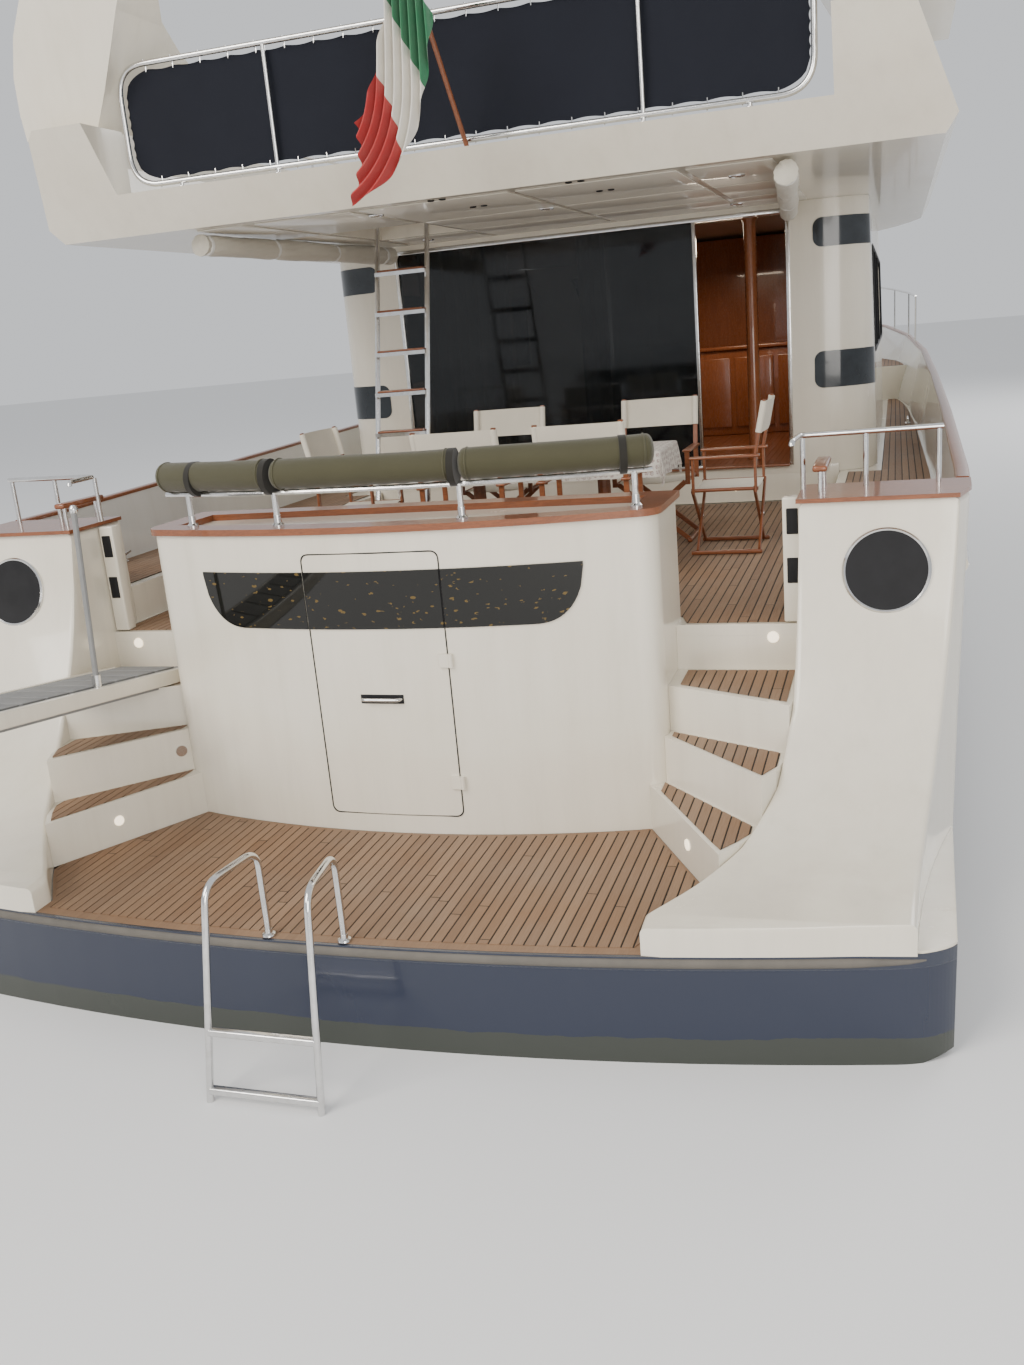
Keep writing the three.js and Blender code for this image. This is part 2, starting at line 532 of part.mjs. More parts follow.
function flybridge() {
  const across = [...FLY_SIDE, ...FLY_SIDE.slice().reverse().map(([x, z]) => [-x, z])];
  const long = [
    [flyAftY(FLY_UNDER_Z), FLY_UNDER_Z], [FLY.foreY - 250, FLY_UNDER_Z], [FLY.foreY, 3950],
    [FLY.foreY - 450, COAMING_Z], [flyAftY(COAMING_Z), COAMING_Z],
  ];
  const round = new THREE.Shape();
  round.moveTo(-2900, -9000);
  round.lineTo(2900, -9000);
  round.lineTo(2900, -2500);
  round.quadraticCurveTo(2700, FLY.foreY, 0, FLY.foreY);
  round.quadraticCurveTo(-2700, FLY.foreY, -2900, -2500);
  const tray = common(section(across, -9500, 3000), profile(long, -3000, 3000), plan(round, 3000, 6000, 12));
  const wellRound = new THREE.Shape();
  wellRound.moveTo(-2225, flyAftY(FLY_SOLE_Z) + 120);
  wellRound.lineTo(2225, flyAftY(FLY_SOLE_Z) + 120);
  wellRound.lineTo(2225, -2500);
  wellRound.quadraticCurveTo(2050, FLY.wellForeY, 0, FLY.wellForeY);
  wellRound.quadraticCurveTo(-2050, FLY.wellForeY, -2225, -2500);
  const innerSide = [[2190, FLY_SOLE_Z], [2262, 4500], [-2262, 4500], [-2190, FLY_SOLE_Z]];
  const well = common(plan(wellRound, FLY_SOLE_Z, 4500, 10), section(innerSide, -9500, 3000));
  const overCurb = box([-2190, 2190], [-9500, -7900], [FLY.curbZ, 4500]);
  const aftOpening = common(overCurb, section(innerSide, -9500, 3000));
  const ladderWell = box(LADDER_WELL.x, LADDER_WELL.y, [3700, 4100]);
  piece("flybridge", cut(tray, well, aftOpening, ladderWell), "gelcoat");

  const lidZ = [FLY_SOLE_Z + GAP, FLY_SOLE_Z + 30];
  const [x0, x1] = LADDER_WELL.x;
  const [y0, y1] = LADDER_WELL.y;
  const lid = box([x0 - 25, x1 + 25], [y0 - 25, y1 + 23], lidZ);
  const pin = bar([x0 + 40, y1 + 25, lidZ[1] - 8], [x1 - 40, y1 + 25, lidZ[1] - 8], 8);
  piece("fly_hatch", join(lid, pin), "plastic");

  const { setBack, thick, halfWidth, topZ } = FLY_SCREEN;
  const screen = cut(
    common(plan(round, COAMING_Z + GAP, topZ, 12), box([-halfWidth, halfWidth], [-900, 3000], [4000, topZ])),
    plan(round, 4000, 5000, 12).translate([0, -thick, 0]),
  );
  const raked = [[-3000, COAMING_Z], [1900, COAMING_Z], [1500, topZ], [-3000, topZ]];
  const rakedBand = profile(raked, -3000, 3000);
  piece("fly_windscreen", common(screen.translate([0, -setBack, 0]), rakedBand), "glass");
}

// The stainless frame across the flybridge's open end, and the dark cloth laced inside it.
const WINDBREAK = { halfWidth: 2090, footZ: 4105, topZ: 4790, radius: 17, corner: 170, postX: [-1080, 1170] };
function flySternFrame() {
  const { halfWidth, footZ, topZ, radius, corner, postX } = WINDBREAK;
  const y = flyAftY(FLY.curbZ) + 60;
  const ring = [
    [halfWidth - corner, footZ], [halfWidth, footZ + corner],
    [halfWidth, topZ - corner], [halfWidth - corner, topZ],
    [-halfWidth + corner, topZ], [-halfWidth, topZ - corner],
    [-halfWidth, footZ + corner], [-halfWidth + corner, footZ],
  ].map(([x, z]) => [x, y, z]);
  const tubeOf = (thick) => sweep(ring, thick, AHEAD, { closed: true });
  const feet = [...postX, -1750, 1750].map((x) => bar([x, y, FLY.curbZ + GAP], [x, y, footZ], 12));
  const posts = postX.map((x) => bar([x, y, footZ], [x, y, topZ], 14));
  piece("fly_stern_frame", join(tubeOf(radius), ...feet, ...posts), "stainless");

  const clothY = y + radius + 3;
  const edge = 14;
  const cloth = [
    [-halfWidth + corner, footZ + edge], [halfWidth - corner, footZ + edge],
    [halfWidth - edge, footZ + corner], [halfWidth - edge, topZ - corner],
    [halfWidth - corner, topZ - edge], [-halfWidth + corner, topZ - edge],
    [-halfWidth + edge, topZ - corner], [-halfWidth + edge, footZ + corner],
  ];
  const hookX = [-1700, 0, 1700];
  const hooks = hookX.map((x) => box([x - 5, x + 5], [y + radius / 2, clothY + 4], [footZ - 4, footZ + 30]));
  piece("windbreak", cut(join(section(cloth, clothY, clothY + 8), ...hooks), tubeOf(radius + GAP)), "navy");
}

// The radar arch's legs stand on the flybridge's sides and lean inward. Its scanner turns on a pedestal.
const ARCH = {
  outer: [
    [2790, COAMING_Z + GAP], [2780, 4600], [2740, 4800], [2650, 5010], [2510, 5210], [2320, 5400],
    [2090, 5560], [1830, 5660], [1560, 5700],
  ],
  inner: [
    [2265, COAMING_Z + GAP], [2140, 4640], [2010, 4860], [1900, 5050], [1790, 5215], [1660, 5360],
    [1490, 5480], [1270, 5560],
  ],
  // Seen from the side: the fore edge from the foot up, then the aft edge down again, as y and z.
  fore: [
    [-6250, COAMING_Z], [-6700, 4650], [-7180, 4840], [-7560, 4960], [-7830, 5070], [-7980, 5200],
    [-8030, 5360], [-8010, 5540], [-7950, 5700],
  ],
  aft: [[-8480, 5700], [-8150, COAMING_Z]],
  topZ: 5700, pedestalY: -8220,
};
const SCANNER = { z: 5960, length: 1250, reach: 95 };
function radarArch() {
  const { outer, inner, fore, aft, topZ, pedestalY } = ARCH;
  const across = (points) => points.slice().reverse().map(([x, z]) => [-x, z]);
  const back = [...across(inner).reverse(), ...inner.slice().reverse()];
  const ring = section([...outer, ...across(outer), ...back], -9000, -7000);
  const side = profile([...fore, ...aft], -3000, 3000);
  const pedestal = bar([0, pedestalY, topZ - 10], [0, pedestalY, SCANNER.z - 60 - GAP], 150, 16, 110);
  piece("radar_arch", join(common(ring, side), pedestal), "gelcoat");

  const half = SCANNER.length / 2;
  const reachY = [pedestalY - SCANNER.reach, pedestalY + SCANNER.reach / 2];
  const array = box([-half, half], reachY, [SCANNER.z, SCANNER.z + 110]);
  const hub = bar([0, pedestalY, SCANNER.z - 60], [0, pedestalY, SCANNER.z + 10], 60, 16);
  piece("radar_scanner", join(array, hub), "plastic");
}

const HELM = {
  x: 900, halfWidth: 420, topZ: 4880, aftY: -200, foreY: 530, wheelRadius: 210, shaft: 190,
  faceY: [-100, 60], faceZ: [4300, 4700],
};
function helm() {
  const foot = FLY_SOLE_Z + GAP;
  const { x, halfWidth, topZ, aftY, foreY, wheelRadius, shaft, faceY, faceZ } = HELM;
  const outline = [
    [aftY, foot], [foreY, foot], [foreY, faceZ[1]], [300, topZ], [faceY[1], faceZ[1]], [faceY[0], faceZ[0]],
  ];
  piece("helm_console", profile(outline, x - halfWidth, x + halfWidth), "gelcoat");

  const spokes = [90, 210, 330].map((degrees) => {
    const turn = (degrees * Math.PI) / 180;
    return bar([0, 0, 0], [wheelRadius * Math.cos(turn), wheelRadius * Math.sin(turn), 0], 11, 6);
  });
  const rim = solid(new THREE.TorusGeometry(wheelRadius, 17, 6, 20));
  const upright = join(rim, ...spokes, bar([0, 0, -shaft], [0, 0, 22], 32, 12));
  const tilt = Math.atan2(faceY[1] - faceY[0], faceZ[1] - faceZ[0]);
  const wheel = upright.rotate([90 - (tilt * 180) / Math.PI, 0, 0]);
  const reach = shaft + GAP;
  const middle = [(faceY[0] + faceY[1]) / 2, (faceZ[0] + faceZ[1]) / 2];
  const hub = [x, middle[0] - reach * Math.cos(tilt), middle[1] + reach * Math.sin(tilt)];
  piece("helm_wheel", wheel.translate(hub), "stainless");

  const seat = join(
    box([x - 560, x + 560], [-1300, -800], [foot, 4420]),
    profile([[-1320, 4400], [-1200, 4400], [-1280, 4850], [-1370, 4850]], x - 560, x + 560),
  );
  piece("helm_seat", seat, "cushion");
  const bench = box([-2100, -1400], [-4400, -1500], [foot, 4400]);
  const sofa = join(bench, box([-1980, -300], [-1600, -900], [foot, 4400]));
  piece("fly_sofa", sofa, "cushion");
}

// The ladder from the cockpit to the flybridge: two stainless rails and flat wooden treads as one frame.
const LADDER = { x: -1100, halfWidth: 205, foot: [-6780, SOLE_Z], head: [-6120, FLY_UNDER_Z], treads: 7 };
function ladders() {
  const { x, halfWidth, foot, head, treads } = LADDER;
  const at = (t) => [foot[0] + (head[0] - foot[0]) * t, foot[1] + (head[1] - foot[1]) * t];
  const clip = box([x - 400, x + 400], [-8000, -5000], [SOLE_Z + GAP, FLY_UNDER_Z + 100]);
  const [under, over] = [at(-0.02), at(1.04)];
  const rails = [x - halfWidth, x + halfWidth].map((rx) => bar([rx, ...under], [rx, ...over], 20));
  const rungs = steps(1, treads, treads - 1).map((i) => {
    const [y, z] = at(i / (treads + 1));
    return box([x - halfWidth, x + halfWidth], [y - 55, y + 55], [z - 14, z + 14]);
  });
  piece("fly_ladder", common(join(...rails, ...rungs), clip), "stainless");

  bathingLadder();
}

// The bathing ladder: two hoops that spread and lean aft on their way down, with four rungs between them.
const BATHING_LADDER = {
  footX: [-192, 182], spread: 50, deckY: -10958, reach: 365, topZ: 920, lean: 0.196, footZ: -520,
  rungZ: [300, 50, -200, -450],
};
function bathingLadder() {
  const { footX, spread, deckY, reach, topZ, lean, footZ, rungZ } = BATHING_LADDER;
  const aft = { out: 372, z: topZ - 85 };
  const legAt = (z) => aft.out + (aft.z - z) * lean;
  const place = (i, out, z) => [footX[i] + (i ? 1 : -1) * spread * out / reach, deckY - out, z];
  const line = [
    [0, PLATFORM_Z + GAP], [0, topZ - 100], [25, topZ - 35], [90, topZ],
    [285, topZ], [340, topZ - 25], [aft.out, aft.z], [legAt(footZ), footZ],
  ];
  const hoops = [0, 1].map((i) => {
    const turn = Math.atan2((i ? 1 : -1) * spread, reach);
    return sweep(line.map(([out, z]) => place(i, out, z)), 16, [Math.cos(turn), Math.sin(turn), 0]);
  });
  const rungs = rungZ.map((z) => bar(place(0, legAt(z), z), place(1, legAt(z), z), 18));
  piece("bathing_ladder", join(...hoops, ...rungs), "stainless");
}

// The passerelle stands on the port stairs and slopes up to the quay, turning about a pin at its inner end.
const PASSERELLE = { x: [-1945, -1495], innerY: -9300, length: 2750, slope: 8.0, thick: 62, stanchion: 950 };
function passerelle() {
  const { x, innerY, length, slope, thick, stanchion } = PASSERELLE;
  const deck = box(x, [-length, 0], [-thick / 2, thick / 2]);
  const pin = bar([x[0], 0, 0], [x[1], 0, 0], thick / 2, 24);
  const cheekX = [[x[0], x[0] + 30], [x[1] - 30, x[1]]];
  const cheeks = cheekX.map((across) => box(across, [-length + 150, -300], [-thick, 0]));
  const post = bar([x[1] - 20, -820, 0], [x[1] - 20, -880, stanchion], 15);
  const plank = join(deck, pin, ...cheeks, post).rotate([-slope, 0, 0]);
  piece("passerelle", plank.translate([0, innerY, TREADS[2][0] + thick / 2 + GAP]), "teak");
}

// Director's chair: crossed legs, floor runners, arms, and canvas seat and back. It faces +Y before it turns.
const CHAIR = {
  half: 265, deep: 205, seatZ: 440, armZ: 655, topZ: 1000, backZ: [790, 990], bar: 15, lean: 70,
};
// Columns: x, y, turn in degrees
const CHAIRS = [
  [-100, -7900, 0],
  [690, -7900, 0],
  [-330, -6500, 180],
  [830, -6480, 180],
  [-1180, -7250, -90],
  [1420, -6950, 90],
];
function chair() {
  const { half, deep, seatZ, armZ, topZ, backZ, lean } = CHAIR;
  const stick = (from, to) => bar(from, to, CHAIR.bar, 4);
  const parts = [box([-half, half], [-deep, deep], [seatZ - 16, seatZ])];
  for (const side of [-half, half]) {
    parts.push(box([side - 14, side + 14], [-deep - 30, deep + 30], [0, 26]));
    parts.push(box([side - 28, side + 28], [-deep - 30, deep + 20], [armZ - 20, armZ]));
    for (const y of [-deep, deep]) {
      parts.push(stick([side, y, 12], [-side, y, seatZ - 8]));
      parts.push(stick([side, y, seatZ - 10], [side, y, armZ - 10]));
    }
    parts.push(stick([side, -deep, armZ - 10], [side, -deep - lean, topZ]));
  }
  const backY = -deep - lean;
  const back = [[backY + 38, backZ[0]], [backY + 46, backZ[0]], [backY + 8, backZ[1]], [backY, backZ[1]]];
  return join(...parts, profile(back, -half, half));
}

const AWNING = { from: [-1880, -7800], to: [-1660, -4980], radius: 75 };
const TABLE = { x: [-750, 1050], y: [-7500, -6850], topZ: 2210 };
function furniture() {
  const foot = SOLE_Z + GAP;
  const { x, y, topZ } = TABLE;
  const middle = (y[0] + y[1]) / 2;
  const legs = [x[0] + 450, x[1] - 450].map((at) => {
    const plinth = bar([at, middle, foot], [at, middle, foot + 30], 210, 16);
    return join(plinth, bar([at, middle, foot + 20], [at, middle, topZ - 20], 45, 12));
  });
  piece("cockpit_table", join(box(x, y, [topZ - 40, topZ]), ...legs), "varnish");
  CHAIRS.forEach(([cx, cy, turn], i) => {
    piece("deck_chair_" + (i + 1), chair().rotate([0, 0, turn]).translate([cx, cy, foot]), "canvas");
  });
  const { from, to, radius } = AWNING;
  const rollZ = FLY_UNDER_Z - GAP - radius;
  const roll = sweep([[...from, rollZ], [...to, rollZ]], radius, UP, { sides: 12 });
  piece("awning_roll", roll, "canvas");
}

const STAFF = { foot: [150, -8116, FLY.curbZ - 40], head: [60, -8800, 5150], radius: 14 };
function ensign() {
  const { foot, head, radius } = STAFF;
  const pole = (thick) => bar(foot, head, thick, 10);
  const staff = common(pole(radius), box([-500, 500], [-9500, -8000], [FLY.curbZ + GAP, 5300]));
  piece("flagstaff", join(staff, ball(head, 22)), "varnish");
  const tie = foot.map((v, i) => v + (head[i] - v) * ENSIGN.tie);
  const cloth = section(ENSIGN.outline.map(([x, z]) => [tie[0] + x, tie[2] + z]), tie[1] - 5, tie[1] + 5);
  piece("ensign", cut(cloth, pole(radius + GAP)), "flag");
}
// The ensign hangs from a point this far up the staff, and its outline is measured from that point.
const ENSIGN = {
  tie: 0.93,
  outline: [
    [2, 30], [30, -250], [90, -760], [150, -1130], [-60, -1180], [-360, -1430], [-480, -1330], [-150, -900],
    [-75, -300], [-48, 30],
  ],
};

// Guard rail round the foredeck, on stanchions that stand on the deck inside the bulwark.
const GUARD = { height: 620, radius: 15, y: [2960, 4300, 5700, 7100, 8400, 9500, 10150] };
function sheerHalf(y) {
  const i = HULL_SECTIONS.findIndex((row) => row[0] >= y);
  const [a, b] = [HULL_SECTIONS[i - 1], HULL_SECTIONS[i]];
  const t = (y - a[0]) / (b[0] - a[0]);
  return { half: a[4] + (b[4] - a[4]) * t, z: a[5] + (b[5] - a[5]) * t };
}
function bowGear() {
  const line = GUARD.y.map((y) => {
    const { half, z } = sheerHalf(y);
    return [half - PLATE / 2, y, z + GUARD.height];
  });
  const posts = line.map(([x, y, z]) => bar([x, y, z - GUARD.height - 5], [x, y, z], 13));
  const stem = [0, GUARD.y.at(-1) + 30, line.at(-1)[2]];
  const tubes = join(sweep([...line, stem], GUARD.radius, UP), ...posts);
  const rail = cut(tubes, outerHull.translate([0, 0, GAP]), outerHull);
  const half = common(rail, box([GAP / 2, FAR], [0, FAR], [0, FAR]));
  piece("guard_rail_starboard", half, "stainless");
  piece("guard_rail_port", mirrored(half), "stainless");

  const deckZ = FOREDECK_Z + GAP;
  const { drumY, radius, high, neck, baseX, baseY, baseHigh } = WINDLASS;
  const drum = bar([0, drumY, deckZ], [0, drumY, FOREDECK_Z + high], radius, 16, neck);
  const base = box(baseX, baseY, [deckZ, FOREDECK_Z + baseHigh]);
  piece("windlass", join(base, drum), "stainless");
  const shank = box([-25, 25], [8650, 9750], [deckZ + 10, deckZ + 70]);
  const chock = box([-70, 70], [9300, 9420], [deckZ, deckZ + 40]);
  const flukes = loft([
    [[-230, 9550, deckZ + 12], [230, 9550, deckZ + 12], [0, 9960, deckZ + 12]],
    [[-200, 9560, deckZ + 60], [200, 9560, deckZ + 60], [0, 9900, deckZ + 60]],
  ]);
  piece("anchor", join(shank, chock, flukes), "stainless");
}

const WINDLASS = {
  drumY: 8350, radius: 130, high: 260, neck: 90, baseX: [-180, 180], baseY: [8150, 8620], baseHigh: 70,
};

// Everything under the waterline, for each side.
const SHAFT = {
  x: 750, top: [-6250, -644], hub: [-8900, -1130], radius: 30, sides: 24, fit: 0.9, strut: [-8600, -8450],
};
const STRUT_ARM = { low: 20, high: 230, thick: 9, topZ: -200 };
const PROP = { radius: 360, hub: 70, blades: 4, pitch: 28, thick: 14 };
const RUDDER = { x: 750, y: -9680, topZ: -600, footZ: -1390, chord: 470, thick: 46, boss: -575 };
const ENGINE = { x: [330, 1060], y: [-4700, -2950], z: [-330, 730], bearerZ: -950 };

function shaftPoint(y) {
  const t = (y - SHAFT.top[0]) / (SHAFT.hub[0] - SHAFT.top[0]);
  return [SHAFT.x, y, SHAFT.top[1] + (SHAFT.hub[1] - SHAFT.top[1]) * t];
}

function machinery() {
  const { radius, sides, fit, strut } = SHAFT;
  const [runY, riseZ] = [SHAFT.top[0] - SHAFT.hub[0], SHAFT.top[1] - SHAFT.hub[1]];
  const rise = (Math.atan2(riseZ, runY) * 180) / Math.PI;
  const blade = () => {
    const face = new THREE.Shape();
    face.moveTo(-60, 40);
    face.bezierCurveTo(-210, 150, -190, 340, 0, PROP.radius);
    face.bezierCurveTo(190, 340, 210, 150, 60, 40);
    const flat = solid(extruded(face, PROP.thick, 6));
    return flat.translate([0, 0, -PROP.thick / 2]).rotate([90, 0, 0]).rotate([0, 0, PROP.pitch]);
  };
  const spin = join(
    bar([0, -90, 0], [0, 110, 0], PROP.hub, 16, PROP.hub * 0.7),
    bar([0, 0, 0], [0, Math.hypot(runY, riseZ), 0], radius, sides),
    ...steps(0, PROP.blades - 1, PROP.blades - 1).map((i) => blade().rotate([0, (360 / PROP.blades) * i, 0])),
  );
  const [hx, hy, hz] = [SHAFT.x, ...SHAFT.hub];
  const placed = spin.rotate([rise, 0, 0]).translate([hx, hy, hz]);
  piece("propeller_starboard", placed, "bronze");
  piece("propeller_port", mirrored(placed), "bronze");

  const a = shaftPoint(strut[0]);
  const b = shaftPoint(strut[1]);
  const barrel = bar(a, b, 56, sides);
  const boreA = shaftPoint(strut[0] - 100);
  const boreB = shaftPoint(strut[1] + 100);
  const bore = bar(boreA, boreB, radius + fit, sides);
  const [sx, , sz] = shaftPoint((strut[0] + strut[1]) / 2);
  const { low, high, thick: armThick, topZ: armTopZ } = STRUT_ARM;
  const arms = [-1, 1].map((s) => {
    const ring = (x, z) => [[x - armThick, strut[0] + 10, z], [x + armThick, strut[0] + 10, z],
      [x + armThick, strut[1] - 10, z], [x - armThick, strut[1] - 10, z]];
    return loft([ring(sx + s * low, sz), ring(sx + s * high, armTopZ)]);
  });
  const belowHull = (shape) => cut(shape, outerHull.translate([0, 0, -GAP]), outerHull);
  const bracket = belowHull(cut(join(barrel, ...arms), bore));
  piece("shaft_strut_starboard", bracket, "bronze");
  piece("shaft_strut_port", mirrored(bracket), "bronze");

  const { x, y, topZ, footZ, chord, thick } = RUDDER;
  const foil = new THREE.Shape();
  const [nose, fore, aft, tail] = [0.32, 0.3, -0.3, -0.68].map((part) => y + chord * part);
  foil.moveTo(x, nose);
  foil.bezierCurveTo(x + thick * 0.8, fore, x + thick * 0.5, aft, x + 4, tail);
  foil.lineTo(x - 4, tail);
  foil.bezierCurveTo(x - thick * 0.5, aft, x - thick * 0.8, fore, x, nose);
  const rudder = join(plan(foil, footZ, topZ, 8), bar([x, y, topZ - 50], [x, y, RUDDER.boss - GAP], 24, 12));
  piece("rudder_starboard", rudder, "bronze");
  piece("rudder_port", mirrored(rudder), "bronze");

  const engine = box(ENGINE.x, ENGINE.y, ENGINE.z);
  piece("engine_starboard", engine, "engine");
  piece("engine_port", mirrored(engine), "engine");
}

// Build the boat from the hull up.
hullAndStern();
transom();
sternRail();
stairs();
decks();
cabin();
flybridge();
flySternFrame();
radarArch();
helm();
ladders();
passerelle();
furniture();
ensign();
bowGear();
machinery();

export default yacht;
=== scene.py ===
# %% [markdown]
# # A flybridge motor yacht, dressed
# The boat's hull, decks, rails and moving parts come from CAD as a fixed frame, each with its real size.
# This lesson gives every one of them a finish, and adds what CAD leaves plain: laid teak, cushions,
# cloth, lamps, handles and the small fittings round the stern. Everything is in metres: X to starboard,
# Y forward, Z up, with the waterline at zero.

import math

import bmesh
import bpy
import numpy as np
from mathutils import Matrix, Vector


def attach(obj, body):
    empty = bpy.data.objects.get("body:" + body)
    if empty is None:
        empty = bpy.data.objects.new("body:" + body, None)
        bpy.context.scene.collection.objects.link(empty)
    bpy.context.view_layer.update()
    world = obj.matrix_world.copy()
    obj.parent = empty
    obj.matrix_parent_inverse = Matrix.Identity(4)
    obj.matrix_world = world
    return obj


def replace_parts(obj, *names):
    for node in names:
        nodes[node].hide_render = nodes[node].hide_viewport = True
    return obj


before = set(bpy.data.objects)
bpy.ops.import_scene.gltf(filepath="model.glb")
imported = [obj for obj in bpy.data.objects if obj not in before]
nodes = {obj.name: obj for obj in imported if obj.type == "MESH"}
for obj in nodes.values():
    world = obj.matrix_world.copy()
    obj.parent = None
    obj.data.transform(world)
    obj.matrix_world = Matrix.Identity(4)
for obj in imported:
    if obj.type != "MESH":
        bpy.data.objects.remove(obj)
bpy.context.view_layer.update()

# %% [markdown]
# The camera stands where someone on the quay would, 4.3 m behind the stern, a little to starboard and at eye
# height over the quay's edge. It looks forward and slightly down. Its three axes were worked out from
# straight edges of the boat, so they go in as a rotation matrix, which is exact and needs no target object.

# %% The camera
IMAGE_WIDTH, IMAGE_HEIGHT = 1024, 1365
FOCAL_PIXELS = 1210
SENSOR = 36
right_axis, up_axis = (0.9533, 0.2898, -0.0848), (-0.0020, 0.2871, 0.9580)
back_axis = (0.3020, -0.9130, 0.2743)

camera = bpy.data.objects.new("quay_camera", bpy.data.cameras.new("quay_camera"))
camera.data.sensor_width = SENSOR
camera.data.lens = FOCAL_PIXELS / max(IMAGE_WIDTH, IMAGE_HEIGHT) * SENSOR
camera.data.clip_end = 500
turn = Matrix([right_axis, up_axis, back_axis]).transposed().to_4x4()
camera.matrix_world = Matrix.Translation((2.50, -15.30, 3.00)) @ turn
bpy.context.scene.collection.objects.link(camera)
bpy.context.scene.camera = camera
print("lens", round(camera.data.lens, 2), "mm")

# %% [markdown]
# A boat this long needs big, soft light. A pale sky gives the even part, and three wide area lamps give
# the shape: one high over the quay, one low from port to reach under the flybridge, and one from ahead,
# so that the bow reads in other views too. The floor lies at the waterline, as the water does.

# %% Floor, sky and studio lamps
def studio_lamp(name, at, towards, size, watts, colour=(1, 1, 1)):
    """A square area lamp at one point that faces another."""
    lamp = bpy.data.objects.new(name, bpy.data.lights.new(name, "AREA"))
    lamp.data.size, lamp.data.energy, lamp.data.color = size, watts, colour
    aim = Vector(towards) - Vector(at)
    lamp.rotation_euler = aim.to_track_quat("-Z", "Y").to_euler()
    lamp.location = at
    bpy.context.scene.collection.objects.link(lamp)
    return lamp


studio_lamp("key_lamp", (-9, -24, 15), (0, -7, 2), 12, 3900, (1, 0.95, 0.88))
studio_lamp("low_lamp", (7, -22, 5), (0, -7, 2.5), 7, 1000, (1, 0.96, 0.9))
studio_lamp("bow_lamp", (14, 18, 16), (0, 2, 2), 14, 3000)
studio_lamp("saloon_lamp", (0.9, -2.9, 3.7), (0.9, -3.2, 1.8), 0.7, 22, (1, 0.82, 0.62))

sky = bpy.data.worlds.new("studio_sky")
sky.use_nodes = True
sky.node_tree.nodes["Background"].inputs["Color"].default_value = (0.80, 0.82, 0.85, 1)
sky.node_tree.nodes["Background"].inputs["Strength"].default_value = 0.95
bpy.context.scene.world = sky

FLOOR_RADIUS = 160
around = np.linspace(0, 2 * np.pi, 96, endpoint=False)
rim = np.stack([np.cos(around), np.sin(around), 0 * around], 1) * FLOOR_RADIUS
floor_mesh = bpy.data.meshes.new("studio_floor")
floor_mesh.from_pydata(rim.tolist(), [], [list(range(len(rim)))])
floor = bpy.data.objects.new("studio_floor", floor_mesh)
bpy.context.scene.collection.objects.link(floor)
print("floor", 2 * FLOOR_RADIUS, "m across")

# %% [markdown]
# ## Effects that several finishes share
# Real finishes vary at two scales: slow clouds of colour over a metre, and fine texture over a millimetre.
# Each effect below is one node group with its own numbers for each material that uses it. A small helper
# wires nodes from Python, so that a group reads as a list of steps.

# %% A helper for node trees
def wire(tree, kind, inputs=None, **settings):
    """Adds one node. Inputs are numbers, colours or the output sockets of other nodes."""
    node = tree.nodes.new("ShaderNode" + kind)
    for name, value in settings.items():
        setattr(node, name, value)
    for name, value in (inputs or {}).items():
        socket = node.inputs[name]
        if isinstance(value, bpy.types.NodeSocket):
            tree.links.new(value, socket)
        else:
            socket.default_value = value
    return node


def maths(tree, operation, a, b=0.0, c=0.5, clamp=False):
    """One Math node, and its result. Only MULTIPLY_ADD uses c: it gives a * b + c."""
    return wire(tree, "Math", {0: a, 1: b, 2: c}, operation=operation, use_clamp=clamp).outputs[0]


def between(tree, amount, low, high):
    """Blends two colours by an amount from 0 to 1."""
    node = wire(tree, "Mix", {"Factor": amount}, data_type="RGBA")
    for socket, value in ((node.inputs[6], low), (node.inputs[7], high)):
        if isinstance(value, bpy.types.NodeSocket):
            tree.links.new(value, socket)
        else:
            socket.default_value = (*value, 1)
    return node.outputs[2]


def new_group(name, takes, gives):
    """An empty group with named inputs, {name: (kind, value)}, and outputs, {name: kind}."""
    group = bpy.data.node_groups.new(name, "ShaderNodeTree")
    for socket, (kind, value) in takes.items():
        made = group.interface.new_socket(socket, in_out="INPUT", socket_type="NodeSocket" + kind)
        if value is not None:
            made.default_value = value
    for socket, kind in gives.items():
        group.interface.new_socket(socket, in_out="OUTPUT", socket_type="NodeSocket" + kind)
    return group, group.nodes.new("NodeGroupInput").outputs, group.nodes.new("NodeGroupOutput").inputs


# %% Clouds of tone, and fine relief
clouds, taken, given = new_group(
    "clouds", {"Place": ("Vector", None), "Size": ("Float", 1.0), "Contrast": ("Float", 1.0)},
    {"Mask": "Float"})
scaled = wire(clouds, "VectorMath", {0: taken["Place"]}, operation="SCALE")
clouds.links.new(maths(clouds, "DIVIDE", 1.0, taken["Size"]), scaled.inputs["Scale"])
noise = wire(clouds, "TexNoise", {"Vector": scaled.outputs[0], "Scale": 1.0, "Detail": 5.0, "Roughness": 0.6})
centred = maths(clouds, "SUBTRACT", noise.outputs["Fac"], 0.5)
stretched = maths(clouds, "MULTIPLY_ADD", centred, taken["Contrast"], 0.5, clamp=True)
clouds.links.new(stretched, given["Mask"])
print("group clouds has", len(clouds.nodes), "nodes")

# %% [markdown]
# Dust and dried salt gather on faces that look up and run down in faint streaks below them. The streaks
# are noise squeezed along X and Y and drawn out along Z, so they hang straight on any upright wall.

